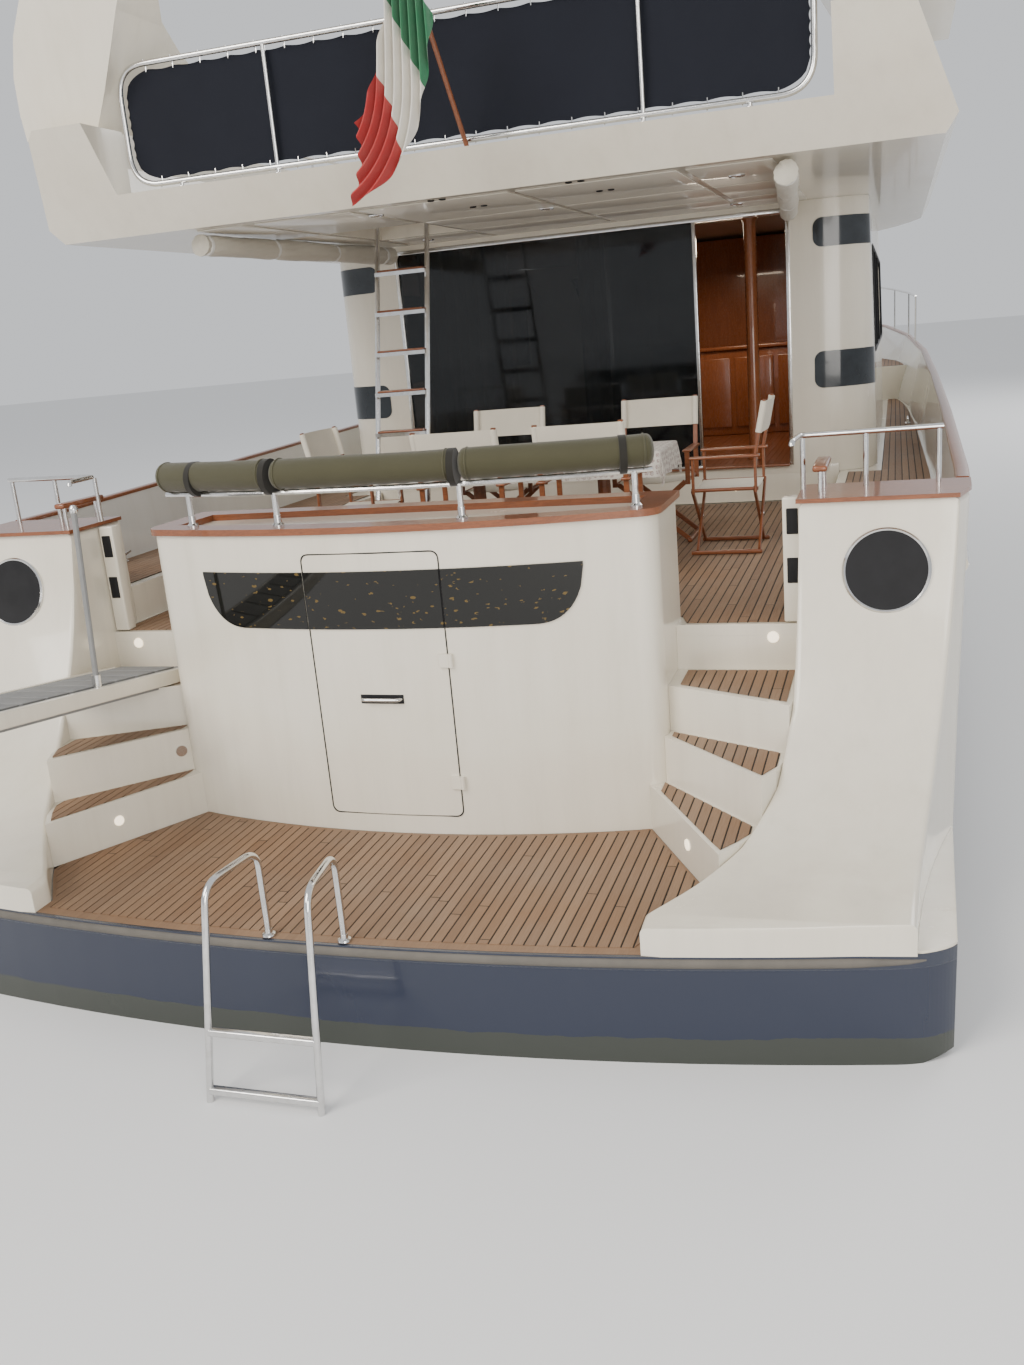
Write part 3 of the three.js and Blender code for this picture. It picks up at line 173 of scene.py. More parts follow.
# %% Weather: dust on top, streaks down the sides
weather, taken, given = new_group(
    "weather", {"Place": ("Vector", None), "Amount": ("Float", 0.3)}, {"Mask": "Float"})
squeezed = wire(weather, "Mapping", {"Vector": taken["Place"], "Scale": (9.0, 9.0, 0.8)})
streaks = wire(weather, "TexNoise", {"Vector": squeezed.outputs[0], "Scale": 1.0, "Detail": 4.0,
                                     "Roughness": 0.65})
speckle = wire(weather, "TexNoise", {"Vector": taken["Place"], "Scale": 6.0, "Detail": 6.0, "Roughness": 0.7})
facing = wire(weather, "SeparateXYZ", {0: wire(weather, "NewGeometry").outputs["Normal"]}).outputs["Z"]
top = maths(weather, "MULTIPLY", maths(weather, "MAXIMUM", facing, 0.0), speckle.outputs["Fac"])
side = maths(weather, "POWER", streaks.outputs["Fac"], 3.0)
both = maths(weather, "ADD", maths(weather, "MULTIPLY", top, 0.3), side)
weather.links.new(maths(weather, "MULTIPLY", both, taken["Amount"], clamp=True), given["Mask"])
print("group weather has", len(weather.nodes), "nodes")

# %% [markdown]
# Laid teak is narrow planks with black rubber caulking between them. The planks run fore and aft and one
# seam is on the centreline, so a plank's number is X divided by the plank's width. That number picks the
# plank's own tone, and the fraction left over says how near the seam is. The butts, where one plank ends
# and the next begins, step by a different amount on each plank.

# %% Laid teak
PLANK = 0.052
SEAM = 0.0065

planking, taken, given = new_group(
    "planking",
    {"Place": ("Vector", None), "Plank": ("Float", PLANK), "Seam": ("Float", SEAM), "Length": ("Float", 2.3)},
    {"Tone": "Float", "Caulk": "Float", "Grain": "Float"})
axes = wire(planking, "SeparateXYZ", {0: taken["Place"]})
course = maths(planking, "DIVIDE", axes.outputs["X"], taken["Plank"])
number = maths(planking, "FLOOR", course)
own = wire(planking, "TexWhiteNoise", {"W": number}, noise_dimensions="1D").outputs["Value"]
run = maths(planking, "ADD", maths(planking, "DIVIDE", axes.outputs["Y"], taken["Length"]),
            maths(planking, "MULTIPLY", own, 7.0))
length_number = maths(planking, "FLOOR", run)
tone = wire(planking, "TexWhiteNoise", {
    "Vector": wire(planking, "CombineXYZ", {"X": number, "Y": length_number}).outputs[0]},
    noise_dimensions="3D")
half_seam = maths(planking, "DIVIDE", maths(planking, "MULTIPLY", taken["Seam"], 0.5), taken["Plank"])
to_seam = maths(planking, "PINGPONG", course, 0.5)
in_seam = maths(planking, "LESS_THAN", to_seam, half_seam)
to_butt = maths(planking, "MULTIPLY", maths(planking, "PINGPONG", run, 0.5), taken["Length"])
in_butt = maths(planking, "LESS_THAN", to_butt, maths(planking, "MULTIPLY", taken["Seam"], 0.4))
planking.links.new(maths(planking, "MAXIMUM", in_seam, in_butt), given["Caulk"])
planking.links.new(tone.outputs["Value"], given["Tone"])
shifted = wire(planking, "VectorMath", {0: taken["Place"], 1: tone.outputs["Color"]}, operation="ADD")
drawn_out = wire(planking, "Mapping", {"Vector": shifted.outputs[0], "Scale": (260.0, 7.0, 40.0)})
grain = wire(planking, "TexNoise", {"Vector": drawn_out.outputs[0], "Scale": 1.0, "Detail": 5.0,
                                    "Roughness": 0.6})
planking.links.new(grain.outputs["Fac"], given["Grain"])
print("group planking has", len(planking.nodes), "nodes")

# %% [markdown]
# Varnished wood shows the same fibre without seams. The fibre runs along one axis of the piece, and slow
# waves bend it, which gives the arches of sawn timber. Stretching the coordinates does both.

# %% Sawn timber
timber, taken, given = new_group(
    "timber", {"Place": ("Vector", None), "Stretch": ("Vector", (30.0, 3.0, 30.0))},
    {"Figure": "Float", "Fibre": "Float"})
laid = wire(timber, "VectorMath", {0: taken["Place"], 1: taken["Stretch"]}, operation="MULTIPLY")
figure = wire(timber, "TexNoise", {"Vector": laid.outputs[0], "Scale": 0.6, "Detail": 3.0, "Distortion": 1.2})
fine = wire(timber, "VectorMath", {0: laid.outputs[0], "Scale": 9.0}, operation="SCALE")
fibre = wire(timber, "TexNoise", {"Vector": fine.outputs[0], "Scale": 1.0, "Detail": 3.0})
rings = maths(timber, "PINGPONG", maths(timber, "MULTIPLY", figure.outputs["Fac"], 9.0), 1.0)
timber.links.new(rings, given["Figure"])
timber.links.new(fibre.outputs["Fac"], given["Fibre"])
print("group timber has", len(timber.nodes), "nodes")

# %% [markdown]
# Cloth is threads over and under each other. Two waves at right angles, one for the warp and one for the
# weft, swap places at each crossing in a checker of threads, which is exactly what a plain weave does. The
# pattern runs on each piece's own UV map in metres, so it follows the folds.

# %% Plain weave
weave, taken, given = new_group(
    "weave", {"Place": ("Vector", None), "Thread": ("Float", 0.002)},
    {"Height": "Float", "Crossing": "Float"})
axes = wire(weave, "SeparateXYZ", {0: taken["Place"]})
warp = maths(weave, "DIVIDE", axes.outputs["X"], taken["Thread"])
weft = maths(weave, "DIVIDE", axes.outputs["Y"], taken["Thread"])
ridge = [maths(weave, "SINE", maths(weave, "MULTIPLY", maths(weave, "FRACT", t), math.pi))
         for t in (warp, weft)]
steps_sum = maths(weave, "ADD", maths(weave, "FLOOR", warp), maths(weave, "FLOOR", weft))
over = maths(weave, "MODULO", maths(weave, "ABSOLUTE", steps_sum), 2.0)
warp_up = maths(weave, "MULTIPLY", ridge[0], over)
weft_up = maths(weave, "MULTIPLY", ridge[1], maths(weave, "SUBTRACT", 1.0, over))
weave.links.new(maths(weave, "ADD", warp_up, weft_up), given["Height"])
weave.links.new(over, given["Crossing"])
print("group weave has", len(weave.nodes), "nodes")

# %% [markdown]
# ## Finishes
# Each finish is one Principled shader. Numbers that are the same all over, such as how glossy the clear coat
# is, are set on the shader itself. What changes over the surface comes from the groups above: tone into Base
# Color, wear into Roughness, and relief into a Bump node.

# %% Helpers for finishes
def new_finish(name, **plain):
    """A material with one Principled shader. Each plain number goes on the shader socket of that name."""
    material = bpy.data.materials.new(name)
    material.use_nodes = True
    shader = material.node_tree.nodes["Principled BSDF"]
    for socket, value in plain.items():
        shader.inputs[socket.replace("_", " ")].default_value = value
    return material, material.node_tree, shader


def place_group(tree, group, **inputs):
    """Places one shared effect with its own values."""
    node = tree.nodes.new("ShaderNodeGroup")
    node.node_tree = group
    for name, value in inputs.items():
        if isinstance(value, bpy.types.NodeSocket):
            tree.links.new(value, node.inputs[name])
        else:
            node.inputs[name].default_value = value
    return node.outputs


def where(tree):
    """Object coordinates, which on this boat are metres from its own origin."""
    return wire(tree, "TexCoord").outputs["Object"]


def paint(tree, shader, colour):
    """Feeds a colour into the shader's Base Color."""
    tree.links.new(colour, shader.inputs["Base Color"])


def patches(tree, size, contrast):
    """Slow clouds from 0 to 1 over the piece, of that size in metres."""
    return place_group(tree, clouds, Place=where(tree), Size=size, Contrast=contrast)["Mask"]


def darker(colour, share):
    """A colour with each of its three numbers multiplied by a share."""
    return tuple(share * c for c in colour)


def raise_surface(tree, shader, height, depth, strength):
    """Feeds a height from 0 to 1 into the shader as relief of that depth in metres."""
    bump = wire(tree, "Bump", {"Height": height, "Distance": depth, "Strength": strength})
    tree.links.new(bump.outputs[0], shader.inputs["Normal"])


def roughness_from(tree, shader, mask, low, high):
    """Roughness runs from low to high as the mask goes from 0 to 1."""
    tree.links.new(maths(tree, "MULTIPLY_ADD", mask, high - low, low), shader.inputs["Roughness"])


# %% [markdown]
# Gelcoat is the glossy coloured skin of a moulded hull. New gelcoat is even. After some seasons the sun
# chalks it a little, so its tone and gloss drift slowly, and rain leaves faint streaks on upright faces.

# %% Gelcoat, and the painted topsides with their dark boot top, which is partly painted shade
def gelcoat(name, fresh, aged, dust=0.35, rough=(0.18, 0.4)):
    """Cream or white moulded skin: slow drift between two tones, with dust and streaks over it."""
    material, tree, shader = new_finish(name, Coat_Weight=0.45, Coat_Roughness=0.06, IOR=1.5)
    drift = patches(tree, 0.7, 1.6)
    dirt = place_group(tree, weather, Place=where(tree), Amount=dust)["Mask"]
    colour = between(tree, dirt, between(tree, drift, fresh, aged), (0.36, 0.31, 0.23))
    paint(tree, shader, colour)
    roughness_from(tree, shader, maths(tree, "ADD", dirt, maths(tree, "MULTIPLY", drift, 0.4), clamp=True),
                   *rough)
    raise_surface(tree, shader, patches(tree, 0.012, 1.0), 0.0004, 0.25)
    return material, tree, shader


cream = gelcoat("cream_gelcoat", (0.80, 0.755, 0.65), (0.74, 0.68, 0.56))[0]
liner_white = gelcoat("headliner_white", (0.78, 0.75, 0.67), (0.72, 0.68, 0.59), 0.1, (0.35, 0.55))[0]

# Below this height the topsides turn dark blue: partly a boot top, and partly painted shade where the quay shades the
# lower stern.
BOOT_TOP_AND_SHADE_Z = 0.44
WATER_STAIN = 0.09
topsides, tree, shader = gelcoat("topsides_paint", (0.82, 0.82, 0.79), (0.76, 0.755, 0.71), 0.3, (0.12, 0.3))
painted = shader.inputs["Base Color"].links[0].from_socket
height = wire(tree, "SeparateXYZ", {0: where(tree)}).outputs["Z"]
wave = maths(tree, "MULTIPLY", patches(tree, 0.35, 1.0), 0.06)
low_edge = maths(tree, "LESS_THAN", height, BOOT_TOP_AND_SHADE_Z)
slime = maths(tree, "LESS_THAN", maths(tree, "SUBTRACT", height, wave), WATER_STAIN)
band = between(tree, slime, (0.012, 0.018, 0.040), (0.030, 0.035, 0.028))
paint(tree, shader, between(tree, low_edge, painted, band))
# The swim platform's side takes the same dark blue: partly paint, and partly painted shade below the platform's edge.
platform_edge = gelcoat("boot_top_and_shade_blue", (0.012, 0.018, 0.040), (0.02, 0.028, 0.05), 0.12, (0.2, 0.4))[0]
print("gelcoat and topsides are ready")

# %% [markdown]
# Teak on deck is never varnished. It dries to a pale brown, greyer where feet do not scrub it. The caulking is
# soft black rubber, duller than the wood and a shade lower, which the geometry of the decks will give.

# %% Deck teak
def deck_teak(name, light, dark, seams=SEAM):
    """Planks between two browns, with grey weathering in clouds and black caulking in the seams."""
    material, tree, shader = new_finish(name, Specular_IOR_Level=0.3)
    plank = place_group(tree, planking, Place=where(tree), Seam=seams)
    wood = between(tree, plank["Tone"], light, dark)
    wood = between(tree, maths(tree, "MULTIPLY", patches(tree, 0.9, 2.2), 0.45), wood, (0.33, 0.29, 0.24))
    fibre = maths(tree, "MULTIPLY", plank["Grain"], 0.55)
    wood = between(tree, fibre, wood, darker(dark, 0.45))
    paint(tree, shader, between(tree, plank["Caulk"], wood, (0.012, 0.011, 0.010)))
    roughness_from(tree, shader, plank["Grain"], 0.5, 0.8)
    raise_surface(tree, shader, plank["Grain"], 0.0008, 0.5)
    return material


laid_teak = deck_teak("laid_teak", (0.36, 0.215, 0.12), (0.25, 0.135, 0.070))
plain_teak = deck_teak("teak_margin", (0.33, 0.19, 0.10), (0.27, 0.15, 0.08), 0.0)


def timber_finish(name, light, dark, stretch, gloss, coat):
    """Clear-coated or oiled wood, with its fibre along the axis that is stretched least."""
    material, tree, shader = new_finish(name, Coat_Weight=coat, Coat_Roughness=0.05, IOR=1.5)
    wood = place_group(tree, timber, Place=where(tree), Stretch=stretch)
    figure = maths(tree, "MULTIPLY_ADD", wood["Figure"], 0.6, 0.5)
    streak = maths(tree, "MULTIPLY", wood["Fibre"], figure, clamp=True)
    paint(tree, shader, between(tree, streak, light, dark))
    roughness_from(tree, shader, wood["Fibre"], *gloss)
    raise_surface(tree, shader, wood["Fibre"], 0.0004, 0.25)
    return material


mahogany = timber_finish("varnished_wood", (0.28, 0.090, 0.032), (0.105, 0.030, 0.011), (4.0, 40.0, 40.0),
                         (0.24, 0.4), 0.4)
upright_wood = timber_finish("varnished_wood_upright", (0.36, 0.12, 0.045), (0.15, 0.045, 0.016),
                             (40.0, 40.0, 4.0), (0.2, 0.34), 0.7)
print("teak and varnished wood are ready")

# %% [markdown]
# Marine stainless is polished, not brushed, yet it is never a perfect mirror: water spots and fine
# scratches make it cloudy in patches. Bronze under water goes dull and brown-green.

# %% Metals
def metal(name, bright, dull, gloss, patch):
    """Metal with cloudy patches in colour and gloss."""
    material, tree, shader = new_finish(name, Metallic=1.0)
    spots = patches(tree, patch, 2.0)
    paint(tree, shader, between(tree, spots, bright, dull))
    roughness_from(tree, shader, spots, *gloss)
    scratches = wire(tree, "TexNoise", {"Vector": where(tree), "Scale": 900.0, "Detail": 2.0}).outputs["Fac"]
    raise_surface(tree, shader, scratches, 0.0001, 0.15)
    return material


stainless = metal("polished_stainless", (0.80, 0.80, 0.80), (0.62, 0.61, 0.59), (0.08, 0.26), 0.05)
bronze = metal("sea_bronze", (0.50, 0.33, 0.15), (0.20, 0.22, 0.13), (0.35, 0.7), 0.12)
engine_grey = metal("engine_grey", (0.33, 0.35, 0.37), (0.24, 0.25, 0.26), (0.45, 0.7), 0.2)
print("metals are ready")

# %% [markdown]
# The cabin's glass is tinted almost black. It stays opaque here, as the real panes look by day: a dark
# base under a sharp coat. The screen on the flybridge is thin smoked acrylic, so that one lets light through.

# %% Glass, acrylic, plastic and rubber
def dark_pane(name, clean, marked, size, gloss, **plain):
    """Near-black glass with faint drying marks, which are a little lighter and up to gloss rough."""
    material, tree, shader = new_finish(name, Coat_Roughness=0.02, IOR=1.48, **plain)
    marks = patches(tree, size, 2.5)
    paint(tree, shader, between(tree, marks, clean, marked))
    roughness_from(tree, shader, marks, 0.03, gloss)
    return material


PANE = (0.010, 0.013, 0.016)
tinted_glass = dark_pane("tinted_glass", PANE, tuple(2.2 * c + 0.004 for c in PANE), 0.25, 0.14,
                         Coat_Weight=0.25)
saloon_glass = dark_pane("saloon_glass", (0.006, 0.008, 0.010), (0.014, 0.017, 0.019), 0.3, 0.12,
                         Coat_Weight=0.15,
                         Alpha=0.66)
smoked_acrylic, tree, shader = new_finish("smoked_acrylic", Transmission_Weight=0.85, Roughness=0.03, IOR=1.3,
                                          Coat_Weight=0.4)
paint(tree, shader, between(tree, patches(tree, 0.2, 2.0), (0.30, 0.33, 0.35),
                            darker((0.30, 0.33, 0.35), 0.7)))


def moulded(name, tone, worn, rough=(0.35, 0.55), pebble=0.0003, shine=0.5):
    """Moulded plastic or rubber with a fine pebbled skin."""
    material, tree, shader = new_finish(name, IOR=1.45, Specular_IOR_Level=shine)
    drift = patches(tree, 0.15, 1.6)
    paint(tree, shader, between(tree, drift, tone, worn))
    roughness_from(tree, shader, drift, *rough)
    raise_surface(tree, shader, patches(tree, 0.004, 1.0), pebble, 0.4)
    return material


white_plastic = moulded("white_plastic", (0.78, 0.78, 0.76), (0.70, 0.69, 0.66))
black_rubber = moulded("black_rubber", (0.010, 0.010, 0.011), (0.022, 0.022, 0.024), (0.45, 0.7), shine=0.2)
fender_rubber = moulded("fender_rubber", (0.155, 0.140, 0.120), (0.105, 0.098, 0.088), (0.5, 0.75), 0.0005,
                        0.3)
grey_grip = moulded("grey_grip", (0.26, 0.26, 0.255), (0.20, 0.20, 0.20), (0.7, 0.9), 0.001)
print("glass, acrylic, plastic and rubber are ready")


# %% Cloths
def cloth_finish(name, warp_tone, weft_tone, thread, sheen=0.2, rough=(0.75, 0.92), soil=0.25):
    """Woven cloth in two thread colours on the piece's UV map, which is in metres."""
    material, tree, shader = new_finish(name, Sheen_Weight=sheen, Sheen_Roughness=0.5, Specular_IOR_Level=0.2)
    along = wire(tree, "UVMap").outputs["UV"]
    threads = place_group(tree, weave, Place=along, Thread=thread)
    cloth = between(tree, threads["Crossing"], warp_tone, weft_tone)
    cloth = between(tree, maths(tree, "MULTIPLY", patches(tree, 0.25, 1.8), soil), cloth,
                    darker(weft_tone, 0.55))
    paint(tree, shader, cloth)
    roughness_from(tree, shader, threads["Height"], *rough)
    raise_surface(tree, shader, threads["Height"], 0.0006, 0.5)
    return material


chair_canvas = cloth_finish("chair_canvas", (0.76, 0.71, 0.60), (0.70, 0.65, 0.54), 0.0022)
awning_canvas = cloth_finish("awning_canvas", (0.70, 0.66, 0.56), (0.62, 0.58, 0.49), 0.003)
windbreak_cloth = cloth_finish("windbreak_cloth", (0.014, 0.016, 0.024), (0.008, 0.009, 0.014), 0.004, 0.02)
olive_cover = cloth_finish("olive_cover", (0.070, 0.065, 0.032), (0.052, 0.048, 0.023), 0.0016, 0.25,
                           (0.5, 0.7))
strap_web = cloth_finish("dark_strap", (0.020, 0.018, 0.014), (0.012, 0.011, 0.009), 0.0025)
tie_tape = cloth_finish("tie_tape", (0.84, 0.83, 0.79), (0.76, 0.75, 0.71), 0.0025)
seat_cloth = cloth_finish("seat_cloth", (0.74, 0.70, 0.61), (0.68, 0.64, 0.56), 0.0018)
curtain_cloth = cloth_finish("curtain_cloth", (0.30, 0.29, 0.27), (0.24, 0.235, 0.22), 0.002)
print("cloths are ready")

# %% [markdown]
# ## The CAD pieces take their finishes
# A CAD piece keeps its mesh, and only its material changes. The table pairs each finish with the pieces
# that are made of it. Pieces that get a detailed stand-in further on still take a finish here.

# %% Dress the CAD pieces
def both(*parts):
    """The names of the pieces on both sides."""
    return [f"{part}_{side}" for part in parts for side in ("starboard", "port")]


made_of = {
    topsides: ["hull"],
    platform_edge: ["swim_platform"],
    cream: both("quarter", "stairs") + ["transom_bulkhead", "transom_door", "cockpit_sole", "main_deck",
                                        "saloon_house", "flybridge", "radar_arch", "helm_console"],
    plain_teak: ["saloon_sole"],
    mahogany: ["stern_capping", "cockpit_table", "flagstaff"],
    stainless: both("guard_rail") + ["stern_rail", "fly_stern_frame", "fly_ladder", "bathing_ladder",
                                     "windlass",
                                     "anchor", "helm_wheel"],
    grey_grip: ["passerelle"],
    white_plastic: ["radar_scanner", "fly_hatch"],
    tinted_glass: both("side_glass") + ["windscreen", "foredeck_hatch"],
    saloon_glass: ["aft_glass", "saloon_door"],
    smoked_acrylic: ["fly_windscreen"],
    bronze: both("propeller", "rudder", "shaft_strut"),
    engine_grey: both("engine"),
}
for finish, names in made_of.items():
    for name in names:
        nodes[name].data.materials.clear()
        nodes[name].data.materials.append(finish)
print(sum(map(len, made_of.values())), "CAD pieces dressed")

# %% [markdown]
# CAD writes curved walls as flat strips. Their edges meet at small angles, so smooth shading hides them, while
# every real corner turns by more than the limit and stays sharp.

# %% Smooth the strips of the curved walls
WALL_CREASE, BAR_CREASE = 26, 50
walls = ["hull", "swim_platform", "transom_bulkhead", "transom_door", "saloon_house", "flybridge",
         "radar_arch"]
bars = both("guard_rail", "side_glass") + ["stern_rail", "fly_stern_frame", "fly_ladder", "bathing_ladder",
                                           "fly_windscreen", "windscreen", "helm_wheel", "windlass",
                                           "stern_capping"]
for name in walls + bars:
    mesh = nodes[name].data
    mesh.shade_smooth()
    mesh.set_sharp_from_angle(angle=math.radians(WALL_CREASE if name in walls else BAR_CREASE))
print(len(walls + bars), "CAD pieces shaded smooth")

# %% [markdown]
# ## Surfaces from arrays
# Every new piece is a surface worked out with whole arrays of points. Either a shape is a function of two
# parameters on a grid, or a flat profile is carried along a path. The helpers below turn such grids into
# closed shells. A shape is a pair: its points, and its faces as lists of point numbers.

# %% Faces of a grid, and shells from grids
def circle(count):
    """Angles once round."""
    return np.linspace(0, 2 * np.pi, count, endpoint=False)


def grid_of(x, y, z):
    """Points from three coordinates, each a number, a row, a column or a whole grid."""
    return np.stack(np.broadcast_arrays(x, y, z), -1)


def flat_map(x, y):
    """A UV map in metres for both faces of a sheet, from its flat coordinates."""
    return np.concatenate([np.stack(np.broadcast_arrays(x, y), -1).reshape(-1, 2)] * 2)


def grid_faces(rows, columns, wrap=False):
    """Four-sided faces between neighbours on a grid. With wrap, the last column joins the first."""
    row = np.arange(rows - 1)[:, None] * columns
    here = np.arange(columns if wrap else columns - 1)[None]
    there = (here + 1) % columns
    return np.stack([row + here, row + there, row + there + columns, row + here + columns],
                    -1).reshape(-1, 4).tolist()


def round_shell(grid, loop=False):
    """A grid whose columns go round: it is closed at both ends, or joined end to end when it is a loop."""
    rows, columns = grid.shape[:2]
    if loop:
        faces = grid_faces(rows + 1, columns, wrap=True)
        return grid.reshape(-1, 3), [[i % (rows * columns) for i in f] for f in faces]
    ends = [list(range(columns))[::-1], list(range((rows - 1) * columns, rows * columns))]
    return grid.reshape(-1, 3), grid_faces(rows, columns, wrap=True) + ends


def slab(top, drop):
    """A sheet with a thickness: the top grid, the same grid moved by drop, and the rim between them."""
    rows, columns = top.shape[:2]
    number = np.arange(rows * columns).reshape(rows, columns)
    rim = np.concatenate([number[0], number[1:, -1], number[-1, -2::-1], number[-2:0:-1, 0]])
    after = np.roll(rim, -1)
    low = rows * columns
    faces = grid_faces(rows, columns)
    under = [[i + low for i in reversed(f)] for f in faces]
    sides = np.stack([after, rim, rim + low, after + low], 1).tolist()
    return np.concatenate([top.reshape(-1, 3),
                           (top + np.asarray(drop)).reshape(-1, 3)]), faces + under + sides


def together(shapes):
    """A list of shapes as one."""
    points, faces, start = [], [], 0
    for p, f in shapes:
        points.append(p)
        faces += [[i + start for i in face] for face in f]
        start += len(p)
    return np.concatenate(points), faces


def other_side(shape):
    """The same shape mirrored to the other side of the boat, with its faces still outward."""
    points, faces = shape
    return points * (-1, 1, 1), [face[::-1] for face in faces]


# %% Shapes carried along paths, turned, and rounded
def beside(path, across, loop=False):
    """Two unit vectors square to a path at each point. The first is also square to across."""
    ahead = np.roll(path, -1, 0) - np.roll(path, 1, 0) if loop else np.gradient(path, axis=0)
    out = np.cross(ahead, np.broadcast_to(across, path.shape))
    out /= np.linalg.norm(out, axis=1, keepdims=True)
    up = np.cross(out, ahead)
    return out, up / np.linalg.norm(up, axis=1, keepdims=True)


def carried(path, profile, across=(0, 0, 1), loop=False, grow=1.0):
    """A profile of (u, v) pairs carried along a path: path + u * out + v * up, closed at the ends."""
    path, profile = np.asarray(path, float), np.asarray(profile, float)
    out, up = beside(path, across, loop)
    grow = np.broadcast_to(grow, len(path))[:, None, None]
    moved = profile[None, :, :1] * out[:, None] + profile[None, :, 1:] * up[:, None]
    return round_shell(path[:, None] + grow * moved, loop)


def roll_grid(path, radius, turn):
    """A grid round a path: radius is a number for each point of the path and each angle of turn."""
    out, up = beside(path, (0, 0, 1))
    spokes = np.cos(turn)[None, :, None] * out[:, None] + np.sin(turn)[None, :, None] * up[:, None]
    return path[:, None] + radius[..., None] * spokes


def rounding(inward):
    """How full a rounded edge is: 0 at the edge, and 1 where inward, a share of the radius, reaches 1."""
    return np.sqrt(np.clip(1 - (1 - np.clip(inward, 0, 1)) ** 2, 0, 1))


def ring(radius, sides=12, flat=1.0):
    """A circle of (u, v) pairs, or an ellipse when it is flattened."""
    turn = circle(sides)
    return np.stack([np.cos(turn) * radius, np.sin(turn) * radius * flat], 1)


def tube(path, radius, sides=12, across=(0, 0, 1), loop=False, grow=1.0):
    """A round bar along a path."""
    return carried(path, ring(radius, sides), across, loop, grow)


def upright(x, y, low, high, radius, sides=12):
    """A round post."""
    return tube([(x, y, low), (x, y, high)], radius, sides, (1, 0, 0))


def turned(profile, centre, axis=(0, 0, 1), sides=32):
    """A profile of (radius, height) pairs turned about an axis through a centre, as on a lathe."""
    profile, axis = np.asarray(profile, float), np.asarray(axis, float) / np.linalg.norm(axis)
    first = np.cross(axis, (0.0, 0.0, 1.0) if abs(axis[2]) < 0.9 else (1.0, 0.0, 0.0))
    first /= np.linalg.norm(first)
    second = np.cross(axis, first)
    turn = circle(sides)[:, None]
    spoke = np.cos(turn) * first + np.sin(turn) * second
    grid = profile[:, None, :1] * spoke[None] + profile[:, None, 1:] * axis
    return round_shell(np.asarray(centre) + grid)


def rounded_block(low, high, radius, fine=4):
    """A box with round edges: each direction of a sphere, moved out to the box's corner on its own side."""
    low, high = np.asarray(low, float), np.asarray(high, float)
    quarter = np.linspace(0, np.pi / 2, fine)
    tilt = np.concatenate([quarter - np.pi / 2, quarter])
    turn = np.concatenate([quarter + k * np.pi / 2 for k in range(4)])
    high_side = np.repeat([-1.0, 1.0], fine)
    right = np.repeat([1.0, -1.0, -1.0, 1.0], fine)
    front = np.repeat([1.0, 1.0, -1.0, -1.0], fine)
    tilt = tilt[:, None]
    ball = grid_of(np.cos(tilt) * np.cos(turn), np.cos(tilt) * np.sin(turn), np.sin(tilt))
    corner = grid_of(right, front, high_side[:, None])
    return round_shell((low + high) / 2 + corner * ((high - low) / 2 - radius) + ball * radius)


def closed_bend(low_x, high_x, low_z, high_z, start, reach, smooth=8):
    """A rounded rectangle in x and z as an open path that ends a millimetre before start, on its top edge."""
    corners = [(start, high_z), (high_x, high_z), (high_x, low_z), (low_x, low_z), (low_x, high_z)]
    return bend([(x, 0, z) for x, z in corners + [(start - 0.001, high_z)]], reach, smooth)


def bend(points, reach, smooth=8):
    """A path through corner points, where each corner is replaced by a short curve that starts reach before it."""
    points = np.asarray(points, float)
    t = np.linspace(0, 1, smooth)[:, None]
    parts = [points[:1]]
    for before, corner, after in zip(points[:-2], points[1:-1], points[2:]):
        a = corner + (before - corner) / np.linalg.norm(before - corner) * reach
        b = corner + (after - corner) / np.linalg.norm(after - corner) * reach
        parts.append((1 - t) ** 2 * a + 2 * t * (1 - t) * corner + t ** 2 * b)
    return np.concatenate(parts + [points[-1:]])


# %% Put a shape on the boat
WELD = 2e-5
SLOT_OF = {
    finish: slot for slot, finishes in {
        "gelcoat": (cream, liner_white), "varnished_wood": (mahogany, upright_wood),
        "stainless": (stainless,),
        "moulded_plastic": (black_rubber, white_plastic, fender_rubber), "dark_glass": (tinted_glass,),
        "teak": (laid_teak, plain_teak), "canvas": (chair_canvas, awning_canvas, tie_tape, curtain_cloth),
        "windbreak_cloth": (windbreak_cloth,), "bolster_cloth": (olive_cover, strap_web),
        "cushion": (seat_cloth,),
    }.items() for finish in finishes}


def put(name, shape, finish, slot=None, body="boat", uv=None, crease=35):
    """Makes an object from a shape or a list of them: welded, faces outward, smooth up to a crease angle in
    degrees, riding on a body. The slot is not used."""
    points, faces = together(shape) if isinstance(shape, list) else shape
    mesh = bpy.data.meshes.new(name)
    mesh.from_pydata(points.tolist(), [], faces)
    if uv is not None:
        corners = np.zeros(len(mesh.loops), int)
        mesh.loops.foreach_get("vertex_index", corners)
        mesh.uv_layers.new(name="cloth").data.foreach_set("uv", uv.reshape(-1, 2)[corners].ravel())
    shell = bmesh.new()
    shell.from_mesh(mesh)
    bmesh.ops.remove_doubles(shell, verts=shell.verts, dist=WELD)
    bmesh.ops.dissolve_degenerate(shell, edges=shell.edges, dist=1e-6)
    if shell.calc_volume(signed=True) < 0:
        bmesh.ops.reverse_faces(shell, faces=shell.faces)
    shell.to_mesh(mesh)
    shell.free()
    mesh.materials.append(finish)
    mesh.shade_smooth()
    mesh.set_sharp_from_angle(angle=math.radians(crease))
    made = bpy.data.objects.new(name, mesh)
    bpy.context.scene.collection.objects.link(made)
    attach(made, body)
    slot or SLOT_OF[finish]
    return made


def on_both_sides(name, shape, finish, slot=None, crease=35):
    """The same piece on either side of the boat."""
    shape = together(shape) if isinstance(shape, list) else shape
    put(f"{name}_starboard", shape, finish, slot, crease=crease)
    put(f"{name}_port", other_side(shape), finish, slot, crease=crease)


print("shape helpers are ready")

